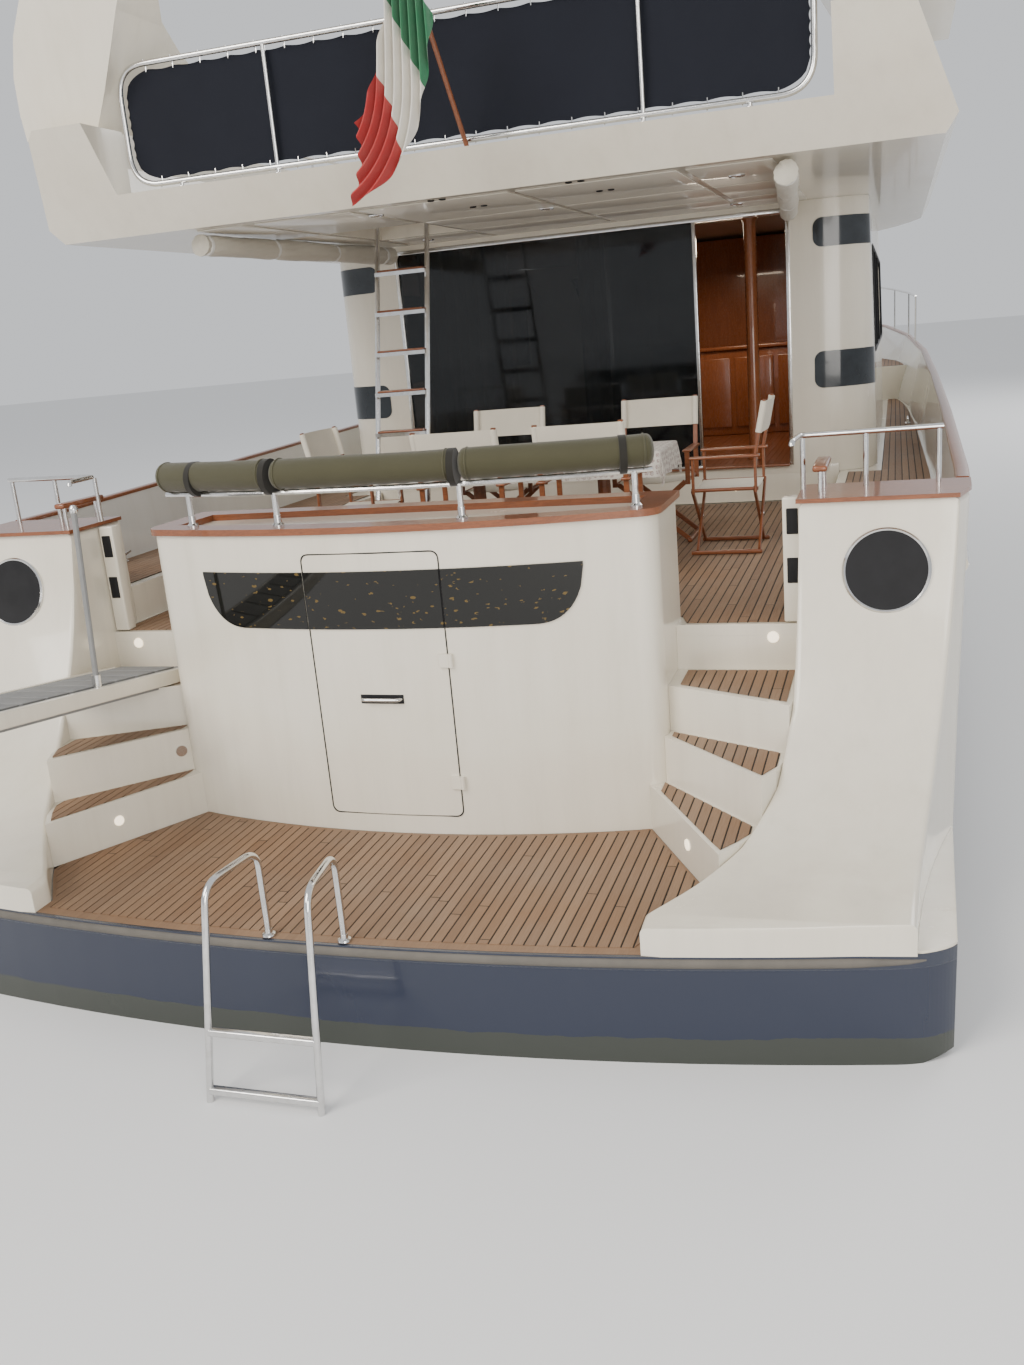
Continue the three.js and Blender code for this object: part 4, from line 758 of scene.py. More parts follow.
# %% [markdown]
# ## The hull's lines
# Several pieces have to follow the hull, so its shape is written down once. The table holds the hull's half
# breadth at three heights for a row of stations. The breadth at any place is read off along the hull first,
# and then between the heights.

# %% How wide the hull is
stations = np.array([-11.3, -8.5, -5.5, -2.0, 1.5, 4.5, 6.6, 8.4, 9.7, 10.5, 11.0])
chine_x = np.array([2.72, 2.78, 2.72, 2.60, 2.44, 2.13, 1.68, 1.09, 0.56, 0.22, 0.04])
chine_z = np.array([0.03, 0.055, 0.07, 0.09, 0.175, 0.33, 0.54, 0.80, 1.09, 1.45, 2.15])
sheer_x = np.array([2.76, 2.86, 2.89, 2.90, 2.87, 2.70, 2.37, 1.83, 1.16, 0.58, 0.09])
sheer_z = np.array([2.12, 2.12, 2.18, 2.26, 2.37, 2.50, 2.62, 2.73, 2.81, 2.86, 2.90])
WALL = 0.06
PLATFORM_Z, COCKPIT_Z, SIDE_DECK_Z, SALOON_Z, WING_Z, FOREDECK_Z = 0.5, 1.47, 1.7, 1.77, 2.12, 2.15
GAP = 0.0003


def hull_half(y, z):
    """Half breadth of the hull's outside at a place: chine, flare point and sheer, with straight lines between."""
    y, z = np.broadcast_arrays(np.asarray(y, float), np.asarray(z, float))
    low_x, low_z, top_x, top_z = (np.interp(y, stations, column)
                                  for column in (chine_x, chine_z, sheer_x, sheer_z))
    mid_x, mid_z = low_x + 0.42 * (top_x - low_x), (low_z + top_z) / 2
    lower = low_x + (mid_x - low_x) * (z - low_z) / (mid_z - low_z)
    upper = mid_x + (top_x - mid_x) * (z - mid_z) / (top_z - mid_z)
    return np.where(z < mid_z, lower, upper)


SHOULDER_X, SHOULDER_Y, CORNER_WIDE, CORNER_Y = 2.5, -10.76, 0.3, -10.45
CENTRE_Y, BEND_Y = -11, -10.7024


def stern_edge(x):
    """The platform's aft edge in plan: a shallow bow, and a round corner outside the shoulder."""
    x = np.abs(np.asarray(x, float))
    s = 1 - np.sqrt(np.clip(1 - (x - SHOULDER_X) / CORNER_WIDE, 0, 1))
    corner = (1 - s) ** 2 * SHOULDER_Y + 2 * s * (1 - s) * BEND_Y + s ** 2 * CORNER_Y
    return np.where(x < SHOULDER_X, CENTRE_Y + 0.24 * (x / SHOULDER_X) ** 2, corner)


BULKHEAD_HALF, BULKHEAD_Y = 1.29, -9.605


def bulkhead_face(x):
    """The stern bulkhead's aft face in plan: one shallow curve."""
    t = (np.asarray(x, float) + BULKHEAD_HALF) / (2 * BULKHEAD_HALF)
    return BULKHEAD_Y - 0.7 * t * (1 - t)


wall_x = np.array([1.5, 1.68, 1.84, 1.98, 2.04, 2.06])
wall_y = np.array([-10.78, -10.54, -10.30, -10.0, -9.70, -9.38])
# Each stair: its height, and the x and y of the inner and the outer end of its front edge.
nosings = [(0.745, 1.29, -9.575, 1.845, -10.56), (0.990, 1.335, -9.50, 2.02, -10.22),
           (1.230, 1.37, -9.44, 2.08, -9.80)]


def nosing(step, x):
    """The front edge of a stair tread: a straight line in plan."""
    _, x0, y0, x1, y1 = nosings[step]
    return y0 + (y1 - y0) * (np.abs(x) - x0) / (x1 - x0)


print("hull is", 2 * float(hull_half(-2.0, 2.2)), "m wide amidships")

# %% [markdown]
# Laid decks could be one flat sheet with painted seams, but real caulking lies lower than the wood and catches
# the light. So each deck is a height field: across the boat, every plank gives four columns of points, two up on
# the wood and two down in the seam. Along the boat, each column runs from one edge of the deck to the other.

# %% A deck of planks
RISE, GROOVE, BEVEL = 0.005, 0.003, 0.0012
SHORTEST = 0.02


def deck_of_planks(name, x_from, x_to, low, high, z, mirror=False, finish=laid_teak):
    """Planks that run fore and aft between low(x) and high(x), with grooves between them, on a level z."""
    first, last = math.ceil(x_from / PLANK - 1e-6), math.floor(x_to / PLANK + 1e-6)
    seams = np.arange(first, last + 1) * PLANK
    offsets = np.array([-SEAM / 2 - BEVEL, -SEAM / 2, SEAM / 2, SEAM / 2 + BEVEL])
    x = (seams[:, None] + offsets).ravel()
    depth = np.tile([0, -GROOVE, -GROOVE, 0], len(seams))
    x, depth = np.concatenate([[x_from], x, [x_to]]), np.concatenate([[0], depth, [0]])
    keep = (x >= x_from) & (x <= x_to) & (high(x) - low(x) > SHORTEST)
    x, depth = x[keep], depth[keep]
    start, end = low(x), high(x)
    v = np.linspace(0, 1, 9)[:, None]
    shape = slab(grid_of(x, start + (end - start) * v, z + RISE + depth), (0, 0, GROOVE - RISE - 0.001))
    put(name, [shape, other_side(shape)] if mirror else shape, finish, "teak", crease=25)


def platform_aft(x, gap):
    """The platform's free edge: the stern, or past x = 1.5 the foot of the quarter."""
    wall = np.interp(np.abs(x), wall_x, wall_y)
    return np.where(np.abs(x) > 1.5, wall + 0.5 * gap, stern_edge(x) + gap)


def platform_fore(x, gap):
    """Where the platform meets the bulkhead, and past it the first stair."""
    return np.where(np.abs(x) < BULKHEAD_HALF, bulkhead_face(x), nosing(0, x)) - gap


edge = np.concatenate([np.linspace(-1.78, -1.5001, 8), np.linspace(-1.4999, 1.4999, 60),
                       np.linspace(1.5001, 1.78, 8)])
low, high = platform_aft(edge, 0.018), platform_fore(edge, 0.004)
border = grid_of(edge, low + (high - low) * np.linspace(0, 1, 9)[:, None],
                 PLATFORM_Z + RISE - GROOVE - 0.0006)
put("platform_margin", slab(border, (0, 0, -0.0012)), plain_teak)
deck_of_planks("platform_planks", -1.74, 1.74, lambda x: platform_aft(x, 0.075),
               lambda x: platform_fore(x, 0.03),
               PLATFORM_Z)
FENDER_HALF, FENDER_Z = 2.62, 0.470
edge_x = FENDER_HALF * np.sin(np.linspace(-np.pi / 2, np.pi / 2, 121))
run_out = np.sqrt(np.clip((FENDER_HALF + 0.02 - np.abs(edge_x)) / 0.3, 0, 1))
half_round = 0.022 * np.array([(0.0, -1.0), (0.3, -0.95), (0.62, -0.6), (0.75, 0.0), (0.62, 0.6), (0.3, 0.95),
                               (0.0, 1.0), (-0.3, 0.9), (-0.3, -0.9)])
put("platform_fender", carried(grid_of(edge_x, stern_edge(edge_x) + 0.004, FENDER_Z), half_round,
                               grow=run_out),
    fender_rubber, crease=50)
print("swim platform laid")

# %% Stair treads and the cockpit sole
for step, (z, x0, _, _, _) in enumerate(nosings):
    deck_of_planks(f"tread_{step + 1}", x0 + 0.09, 2.01,
                   lambda x: np.maximum(nosing(step, x) + 0.045, np.interp(x, wall_x, wall_y) + 0.05),
                   lambda x: (nosing(step + 1, x) if step < 2 else -9.16 + 0 * x) - 0.025, z, mirror=True)

deck_of_planks("cockpit_planks", -2.03, 2.03, lambda x: np.where(np.abs(x) < 1.42, -8.975, -9.115),
               lambda x: -4.90 + 0 * x, COCKPIT_Z)
print("stairs and cockpit laid")

# %% [markdown]
# The side decks and the foredeck end at the bulwark, which curves in plan. For each plank the deck runs
# only over the stretch where the hull is wider than that plank's own distance from the centreline.

# %% Side decks and foredeck
along = np.linspace(-8.86, 10.6, 800)


def inside_bulwark(x, z, from_y, last):
    """The first or last place along the boat where the hull's inside is wider than x."""
    room = (hull_half(along, z) - WALL - 0.03)[:, None] > np.abs(x)[None]
    room &= (along >= from_y)[:, None]
    found = np.where(last, len(along) - 1 - room[::-1].argmax(0), room.argmax(0))
    return np.where(room.any(0), along[found], -99.0 if last else 99.0)


deck_of_planks("side_deck_planks", 2.13, 2.83,
               lambda x: inside_bulwark(x, SIDE_DECK_Z, -8.86, False),
               lambda x: np.where(x < 2.39, -4.98,
                                  np.minimum(2.86, inside_bulwark(x, SIDE_DECK_Z, -8.86, True))),
               SIDE_DECK_Z, mirror=True)


def roof_edge(x):
    """The coachroof's side in plan, so that the foredeck starts ahead of it."""
    return np.where(np.abs(x) > 1.44, 2.99, 3.2 + (1.47 - np.abs(x)) / 0.69 * 4.15).clip(2.99, 7.34)


deck_of_planks("foredeck_planks", -2.6, 2.6, roof_edge,
               lambda x: np.minimum(10.2, inside_bulwark(x, FOREDECK_Z, 2.99, True)), FOREDECK_Z)
deck_of_planks("saloon_floor", -2.2, 2.2, lambda x: -4.76 + 0 * x, lambda x: 1.2 + 0 * x, SALOON_Z,
               finish=mahogany)
print("side decks and foredeck laid")

# %% [markdown]
# ## The stern
# The padded roll on the stern rail comes in three lengths. Each is foam in a dark olive cover, round in
# section and pulled tight over its ends, with a welt sewn round each end and shallow puckers where the cover
# is gathered. So the section's radius changes along the roll: full in the middle, and rounded off at the ends.

# %% Padded rolls on the stern rail
def rail_line(x, z):
    """The stern rail in plan: it follows the bulkhead 75 mm inside it, bending forward near its ends."""
    return grid_of(x, bulkhead_face(x) + 0.075 + 0.04 * np.maximum(0, np.abs(x) - 0.9) ** 2, z)


ROLL_RADIUS = 0.08
RAIL_Z, RAIL_RADIUS = 2.33, 0.014
ROLL_Z = RAIL_Z + RAIL_RADIUS + ROLL_RADIUS


END_ROUND, WELT_IN = 0.035, 0.045


def padded_roll(name, x_from, x_to):
    """A soft tube: its radius is full in the middle, falls round at the ends, and puckers a little along the seam."""
    x = x_from + 0.5 * (x_to - x_from) * (1 - np.cos(np.pi * np.linspace(0, 1, 90)))
    path = rail_line(x, ROLL_Z)
    round_off = rounding(np.minimum(x - x_from, x_to - x) / END_ROUND)
    turn = circle(40)
    pucker = 0.0022 * np.sin(x * 61 + 3)[:, None] * np.exp(-((turn - 4.7) / 0.5) ** 2)[None]
    slack = 0.003 * np.sin(x * 7.0)[:, None] * np.cos(turn * 2 + 1)[None]
    radius = (ROLL_RADIUS - 0.003 + pucker + slack) * (0.12 + 0.88 * round_off)[:, None]
    uv = np.stack(np.broadcast_arrays(x[:, None], turn[None] * ROLL_RADIUS), -1)
    roll = put(name + "_padded", round_shell(roll_grid(path, radius, turn)), olive_cover, uv=uv, crease=60)
    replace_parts(roll, name)
    seams = roll_grid(path, np.full((len(x), len(turn)), 0.98 * ROLL_RADIUS), turn)
    near_ends = np.argmin(np.abs(x - x_from - WELT_IN)), np.argmin(np.abs(x - x_to + WELT_IN))
    put(name + "_welts", [tube(seams[i], 0.004, 8, path[i + 1] - path[i], loop=True) for i in near_ends],
        olive_cover, crease=60)


rolls = {"bolster_port": (-1.300, -0.562), "bolster_centre": (-0.548, 0.453),
         "bolster_starboard": (0.467, 1.395)}
for name, (x_from, x_to) in rolls.items():
    padded_roll(name, x_from, x_to)
print("three padded rolls")


# %% Straps that tie the rolls to the rail
def strap_round(x, width=0.034):
    """A flat loop round the roll and the rail: an oval profile carried a short way along the rail."""
    path = rail_line(np.linspace(x - width / 2, x + width / 2, 4), ROLL_Z - 0.012)
    return carried(path, ring(ROLL_RADIUS + 0.0045, 40, 1.10))


put("roll_straps", [strap_round(x) for x in (-0.575, 0.44, -1.05, 1.25)], strap_web)
cup = [(0.0, 0), (0.030, 0), (0.030, 0.010), (0.021, 0.020), (0.019, 0.06), (0.0, 0.06)]
put("stanchion_bases", [turned(cup, rail_line(x, 2.155)) for x in (-1.13, -0.56, 0.46, 1.30)], stainless)
print("straps and bases are on the rail")

# %% [markdown]
# A strip of near-black glass crosses the bulkhead and the door in it. Its top edge is straight, its lower
# corners are swept, and gilt leaves lie behind the glass. The strip follows the bulkhead's curve, so it
# is a grid in x and height moved out to the curve. Where it crosses the door it is cut, and that part rides on
# the door. The leaves are drawn by the shader: small cells, stretched and turned, kept where noise allows.

# %% Gilt leaves behind glass
gilt_glass, tree, shader = new_finish("gilt_glass", Coat_Weight=0.1, Coat_Roughness=0.03, IOR=1.4)
leaf_place = wire(tree, "Mapping", {"Vector": where(tree), "Scale": (17.0, 1.0, 34.0),
                                    "Rotation": (0.0, 0.5, 0.0)})
leaf = wire(tree, "TexVoronoi", {"Vector": leaf_place.outputs[0], "Scale": 1.0, "Randomness": 1.0},
            voronoi_dimensions="3D")
vein = wire(tree, "TexNoise", {"Vector": leaf_place.outputs[0], "Scale": 1.7, "Detail": 3.0})
gilt = maths(tree, "MULTIPLY", maths(tree, "LESS_THAN", leaf.outputs["Distance"], 0.27),
             maths(tree, "GREATER_THAN", vein.outputs["Fac"], 0.56))
paint(tree, shader, between(tree, gilt, (0.008, 0.008, 0.007), (0.12, 0.078, 0.020)))
roughness_from(tree, shader, gilt, 0.04, 0.3)


STRIP_TOP, STRIP_BOTTOM, STRIP_STRAIGHT, STRIP_HALF, STRIP_END = 1.925, 1.625, 0.80, 1.052, 0.012


def glass_strip(x_from, x_to):
    """A stretch of the strip. Its lower edge rises to the top edge near the ends, as a quarter of an oval does."""
    x = np.linspace(x_from, x_to, int((x_to - x_from) * 60))
    rise = np.clip((np.abs(x) - STRIP_STRAIGHT) / (STRIP_HALF - STRIP_STRAIGHT), 0, 0.9995)
    low = STRIP_TOP - STRIP_END - (STRIP_TOP - STRIP_END - STRIP_BOTTOM) * np.sqrt(1 - rise ** 2.4)
    return grid_of(x, bulkhead_face(x) - 0.007, low + (STRIP_TOP - low) * np.linspace(0, 1, 14)[:, None])


stretches = {"port": (-STRIP_HALF, -0.418, "boat"), "door": (-0.409, 0.339, "transom_door"),
             "starboard": (0.348, STRIP_HALF, "boat")}
for name, (x_from, x_to, body) in stretches.items():
    put(f"glass_strip_{name}", slab(glass_strip(x_from, x_to), (0, 0.008, 0)), gilt_glass, "dark_glass", body,
        crease=30)
print(len(stretches), "stretches of glass")

# %% The door's latch and the seal round it
latch_x = np.linspace(-0.16, 0.08, 20)
dish = grid_of(latch_x, bulkhead_face(latch_x) - 0.003, 1.25 + np.linspace(-0.024, 0.024, 4)[:, None])
grip_path = bend([(x, bulkhead_face(at) - aft, 1.252) for x, at, aft in
                  ((-0.145, -0.145, 0.002), (-0.140, -0.14, 0.030), (0.062, 0.06, 0.030),
                   (0.067, 0.067, 0.002))], 0.018)
put("door_latch", tube(grip_path, 0.009), stainless, body="transom_door")
put("door_latch_dish", slab(dish, (0, 0.004, 0)), black_rubber, body="transom_door")

outline = closed_bend(-0.412, 0.342, 0.603, 2.017, 0, 0.043)
outline[:, 1] = bulkhead_face(outline[:, 0]) - 0.0008
put("door_seal", tube(outline, 0.0035, 6, (0, 1, 0)), black_rubber)
print("door fitted")

# %% [markdown]
# The quarters are the shoulders of the stern. Seen from the quay their faces are one soft sweep from the
# platform up to the capping, which flat CAD facets only suggest. Here each is carried forward as a row of
# sections: at each place along the boat the section is the inner wall, a rounded top and the hull's side. The
# sweep of the top is a smooth curve through the CAD heights.

# %% Smooth quarters
SWEEP_ROWS = 90
sweep_y = np.array([-11.20, -10.75, -10.50, -10.25, -10.00, -9.80, -9.62, -9.48, -9.39])
sweep_z = np.array([0.62, 0.64, 0.68, 0.76, 0.92, 1.12, 1.40, 1.75, 2.12])


def smooth_curve(t, values, fine):
    """A curve through given values: at each, the slope is that of its two neighbours, with cubics between."""
    slope = np.gradient(values, t)
    i = np.clip(np.searchsorted(t, fine) - 1, 0, len(t) - 2)
    step = t[i + 1] - t[i]
    s = (fine - t[i]) / step
    start, end = values[i], values[i + 1]
    return ((1 + 2 * s) * (1 - s) ** 2 * start + s * (1 - s) ** 2 * step * slope[i]
            + s * s * (3 - 2 * s) * end + s * s * (s - 1) * step * slope[i + 1])


knots = np.concatenate([[0], np.cumsum(np.hypot(np.diff(sweep_y), np.diff(sweep_z)))])
fine = np.linspace(knots[0], knots[-1], SWEEP_ROWS)
top_y, top_z = smooth_curve(knots, sweep_y, fine), np.minimum(smooth_curve(knots, sweep_z, fine), WING_Z)
top_y = np.concatenate([top_y, np.linspace(-9.37, -8.905, 14)])
top_z = np.concatenate([top_z, np.full(14, WING_Z)])


def quarter_outside(y, z):
    """The outer face: it stands in from the platform's rim, and meets the hull's side further forward."""
    y = np.asarray(y, float)
    standing_in = 2.585 + 0.26 * (np.maximum(y + 10.9, 0) / 1.74) ** 2
    rim = np.where(y > SHOULDER_Y, 9.0, SHOULDER_X * np.sqrt(np.clip(y - CENTRE_Y, 0, None) / 0.24))
    return np.minimum(hull_half(y, z), np.minimum(standing_in, rim))


def quarter_section(y, high):
    """The sections at y: up the inner wall, over a rounded top at that height, and down the hull's side."""
    inner, outer = np.interp(y, wall_y, wall_x)[:, None], quarter_outside(y, high)[:, None]
    y, high, base = y[:, None], high[:, None], PLATFORM_Z + GAP
    edge = np.minimum(np.minimum(0.03, 0.35 * (high - base)), 0.4 * np.maximum(outer - inner, 0.01))
    angle, v = np.linspace(0, np.pi / 2, 5), np.linspace(0, 1, 8)
    down_z = (high - edge) + (base - high + edge) * v
    return np.concatenate([
        grid_of(inner, y, base + (high - edge - base) * v),
        grid_of(inner + edge - edge * np.cos(angle), y, high - edge + edge * np.sin(angle))[:, 1:],
        grid_of(outer - edge + edge * np.sin(angle), y, high - edge + edge * np.cos(angle))[:, :-1],
        grid_of(np.maximum(quarter_outside(y, down_z), inner + 0.004), y, down_z)], 1)


used = top_y > -10.905
quarter = round_shell(quarter_section(top_y[used], top_z[used]))
for side, shape in (("starboard", quarter), ("port", other_side(quarter))):
    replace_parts(put(f"quarter_{side}_moulding", shape, cream, crease=50), f"quarter_{side}")

rim_x, ledge_y = np.linspace(2.3, 2.8, 60), np.linspace(-10.755, -9.25, 60)
ledge_in = quarter_outside(ledge_y, PLATFORM_Z + 0.01) + 0.0005
ledge_out = np.minimum(hull_half(ledge_y, PLATFORM_Z), np.interp(ledge_y, stern_edge(rim_x), rim_x)) - 0.002
ledge = grid_of(ledge_in + (ledge_out - ledge_in) * np.linspace(0, 1, 6)[:, None], ledge_y,
                PLATFORM_Z + 0.012)
ledge = ledge[:, ledge_out - ledge_in > 0.004]
on_both_sides("quarter_ledge", slab(ledge, (0, 0, -0.0115)), cream, crease=50)
print("quarters have", len(quarter[0]), "points each")

# %% [markdown]
# A varnished capping lies on each quarter's top. On it stand the posts of the
# wing rail and a short wooden handrail. In the aft face is the mooring port, a round hole with a dark liner and
# a polished rim that the warps lead through.

# %% Cappings, mooring ports and wing rails
cap_y = np.linspace(-9.415, -8.90, 12)
cap_in, cap_out = np.interp(cap_y, wall_y, wall_x) - 0.012, quarter_outside(cap_y, WING_Z) + 0.008
cap = slab(grid_of(cap_in + (cap_out - cap_in) * np.linspace(0, 1, 16)[:, None], cap_y, WING_Z + 0.022),
           (0, 0, -0.021))


PORT_X, PORT_Z, PORT_RADIUS = 2.46, 1.80, 0.195
port_y, above_y = (float(np.interp(z, top_z[:SWEEP_ROWS], top_y[:SWEEP_ROWS]))
                   for z in (PORT_Z, PORT_Z + 0.1))
aft = (0.0, -0.1, above_y - port_y)
lip = [(PORT_RADIUS - 0.012, -0.02), (PORT_RADIUS - 0.009, 0.014), (PORT_RADIUS - 0.002, 0.018),
       (PORT_RADIUS + 0.006, 0.010), (PORT_RADIUS + 0.008, -0.02)]
dish = [(0.0, 0.0015), (0.07, 0.002), (0.13, 0.004), (PORT_RADIUS - 0.016, 0.0145),
        (PORT_RADIUS - 0.010, 0.0145),
        (PORT_RADIUS - 0.010, -0.02), (0.0, -0.02)]
lip, dish = (turned(profile, (PORT_X, port_y - 0.004, PORT_Z), aft, 64) for profile in (lip, dish))
RAIL_FOOT, WING_BAR_Z = 2.141, 2.41
wing_bar = [tube(bend([(2.03, -9.36, RAIL_FOOT), (2.03, -9.36, WING_BAR_Z), (2.05, -9.10, WING_BAR_Z),
                       (2.72, -9.02, WING_BAR_Z)], 0.03), 0.014)]
wing_bar += [upright(x, y, RAIL_FOOT, 2.40, 0.013) for x, y in ((2.06, -9.08), (2.36, -9.06), (2.70, -9.02))]
wing_bar += [upright(2.155, y, 2.14, 2.26, 0.012) for y in (-9.28, -8.98)]
wooden_rail = rounded_block((2.12, -9.33, 2.255), (2.19, -8.93, 2.285), 0.012)
fittings = {"capping": (cap, mahogany), "mooring_rim": (lip, stainless),
            "mooring_liner": (dish, black_rubber),
            "wing_rail": (wing_bar, stainless), "wing_handrail": (wooden_rail, mahogany)}
for name, (shape, finish) in fittings.items():
    on_both_sides(name, shape, finish, crease=40)
print(2 * len(fittings), "fittings on the quarters")


# %% [markdown]
# ## The cockpit
# The chairs are folding ones in varnished wood: crossed legs on floor runners, flat arms, and back posts that lean.
# One frame is worked out facing forward at the origin, then turned and moved six times. Sticks of flat section
# carry a rectangle with eased corners along a straight path.

# %% One chair's frame
HALF, DEEP, SEAT_Z, ARM_Z, BACK_LEAN = 0.265, 0.205, 0.44, 0.655, 0.07
EASE = 0.004


def stick(start, end, wide, thick):
    """A flat stick with eased corners between two points. Its thin way lies fore and aft."""
    u, v = wide / 2, thick / 2
    quarter = np.array([(u, v - EASE), (u - EASE, v)])
    profile = np.concatenate([quarter[:1] * (1, -1), quarter, quarter[::-1] * (-1, 1), -quarter,
                              quarter[1:] * (1, -1)])
    return carried(np.linspace(start, end, 3), profile, (0, 1, 0))


def back_y(z):
    """The back posts lean aft above the arms."""
    return -DEEP - BACK_LEAN * (z - ARM_Z) / (1 - ARM_Z)


# Runners, arms, seat rails, back posts, crossed legs and uprights of one folding chair.
parts = []
for s in (-1, 1):
    x = s * HALF
    parts += [rounded_block((x - 0.016, -DEEP - 0.03, 0.002), (x + 0.016, DEEP + 0.03, 0.028), 0.006),
              rounded_block((x - 0.029, -DEEP - 0.03, ARM_Z - 0.018), (x + 0.029, DEEP + 0.02, ARM_Z), 0.007),
              tube([(x * 0.95, s_y * (DEEP + 0.015), SEAT_Z - 0.01) for s_y in (-1, 1)], 0.012, 10),
              stick((x, -DEEP, ARM_Z - 0.01), (x, -DEEP - BACK_LEAN, 0.998), 0.032, 0.02)]
    for y in (-DEEP, DEEP):
        leg_y = y + s * 0.0105
        parts += [stick((s * HALF * 0.96, leg_y, 0.02), (-s * HALF * 0.93, leg_y, SEAT_Z - 0.008), 0.034,
                        0.018),
                  stick((x, y, SEAT_Z - 0.03), (x, y, ARM_Z - 0.012), 0.034, 0.018)]
frame_shape = together(parts)


def set_down(shape, x, y, degrees, z=COCKPIT_Z + RISE + 0.0005):
    """The same shape turned about the upright axis and moved to its place on the sole."""
    points, faces = shape
    c, s = math.cos(math.radians(degrees)), math.sin(math.radians(degrees))
    spun = points @ np.array([[c, s, 0], [-s, c, 0], [0, 0, 1]])
    return spun + (x, y, z), faces


pin = [(0.0, -0.024), (0.009, -0.024), (0.011, -0.020), (0.011, 0.020), (0.009, 0.024), (0.0, 0.024)]
pivots = together([turned(pin, (0, y, 0.225), (0, 1, 0), 16) for y in (-DEEP, DEEP)])
print("one chair frame has", len(frame_shape[0]), "points")

# %% [markdown]
# The canvas seat hangs between its rails in a shallow trough and the back bows away from whoever sits down.
# Each is a grid in width and depth with that sag added, and a thickness of one and a half millimetres. The
# UV map counts metres along the cloth, so the weave has its real size.

# %% Canvas seats and backs
CANVAS = 0.0016
SEAT_SAG, BACK_BOW = 0.026, 0.022

u, v = np.linspace(-1, 1, 21), np.linspace(-1, 1, 13)[:, None]
seat_x, seat_y = HALF * 0.96 * u, (DEEP + 0.004) * v
seat_z = SEAT_Z + 0.004 - SEAT_SAG * (1 - u ** 2) * (1 - 0.25 * v ** 2) - 0.006 * np.abs(u) ** 12
seat_shape, seat_uv = slab(grid_of(seat_x, seat_y, seat_z), (0, 0, -CANVAS)), flat_map(seat_x, seat_y)
back_z = 0.89 + 0.1 * v
bow_y = back_y(back_z) - BACK_BOW * (1 - u ** 2) - 0.0125 + 0.3 * 0.014 * np.abs(u) ** 6
back_shape = slab(grid_of((HALF + 0.018) * u, bow_y, back_z), (0, CANVAS, 0))
back_uv = flat_map(HALF * u, back_z)
sleeves = together([tube([(s * HALF, back_y(z), z) for z in (0.792, 0.84, 0.94, 0.988)], 0.0215, 16,
                         (1, 0, 0))
                    for s in (-1, 1)])

# Where each chair stands, in x and y, and how far it is turned from facing forward.
chairs = [(-0.10, -7.90, 0), (0.69, -7.90, 0), (-0.33, -6.50, 180), (0.83, -6.48, 180), (-1.18, -7.25, -90),
          (1.42, -6.95, 90)]
for number, place in enumerate(chairs, 1):
    name = f"deck_chair_{number}"
    frame_piece = put(f"{name}_frame", set_down(frame_shape, *place), mahogany, crease=40)
    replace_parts(frame_piece, name)
    put(f"{name}_pivots", set_down(pivots, *place), stainless)
    put(f"{name}_sleeves", set_down(sleeves, *place), chair_canvas)
    seat = put(f"{name}_seat", set_down(seat_shape, *place), chair_canvas, uv=seat_uv, crease=60)
    back = put(f"{name}_back", set_down(back_shape, *place), chair_canvas, uv=back_uv, crease=60)
print(len(chairs), "chairs set out")

# %% [markdown]
# The cloth on the table lies flat on top and hangs all round. A point of the flat cloth that lies a distance d
# outside the table's edge ends up that far below it, and the hem waves in and out as it goes round. At the
# corners the distance is taken to the corner itself, which makes the deeper points that real cloth has there.

# %% Tablecloth
TABLE_X, TABLE_Y, TABLE_Z = (-0.75, 1.05), (-7.50, -6.85), 2.2108
OVERHANG = 0.17
cloth_x = np.linspace(TABLE_X[0] - OVERHANG, TABLE_X[1] + OVERHANG, 150)
cloth_y = np.linspace(TABLE_Y[0] - OVERHANG, TABLE_Y[1] + OVERHANG, 80)[:, None]
near_x, near_y = np.clip(cloth_x, *TABLE_X), np.clip(cloth_y, *TABLE_Y)
over_x, over_y = cloth_x - near_x, cloth_y - near_y
outside = np.hypot(over_x, over_y)
away = np.where(outside > 0, outside, 1.0)
hem = np.clip(outside / OVERHANG, 0, 1)
wave = 0.5 + 0.5 * np.sin(27 * (near_x + near_y) + 11 * np.arctan2(over_y, over_x + 1e-9))
push = np.where(outside > 0, np.minimum(outside, 0.006) + hem * (0.010 + 0.020 * wave), 0)
fall = np.sqrt(outside ** 2 + 0.008 ** 2) - 0.008
hanging = grid_of(near_x + over_x / away * push, near_y + over_y / away * push, TABLE_Z + 0.0035 - fall)
table_linen, tree, shader = new_finish("table_linen", Sheen_Weight=0.15, Specular_IOR_Level=0.2)
along = wire(tree, "UVMap").outputs["UV"]
threads = place_group(tree, weave, Place=along, Thread=0.0012)
sprig = wire(tree, "TexVoronoi", {"Vector": along, "Scale": 26.0, "Randomness": 0.35})
leafy = wire(tree, "TexNoise", {"Vector": along, "Scale": 110.0, "Detail": 2.0})
print_mask = maths(tree, "MULTIPLY", maths(tree, "LESS_THAN", sprig.outputs["Distance"], 0.42),
                   maths(tree, "GREATER_THAN", leafy.outputs["Fac"], 0.45))
ground = between(tree, threads["Crossing"], (0.62, 0.59, 0.53), (0.55, 0.52, 0.47))
paint(tree, shader, between(tree, print_mask, ground, (0.36, 0.29, 0.27)))
roughness_from(tree, shader, threads["Height"], 0.7, 0.9)
raise_surface(tree, shader, threads["Height"], 0.0004, 0.4)
tablecloth = put("tablecloth", slab(hanging, (0, 0, -0.0012)), table_linen, "canvas",
                 uv=flat_map(cloth_x, cloth_y),
                 crease=60)
print("tablecloth has", len(hanging.reshape(-1, 3)), "points a side")

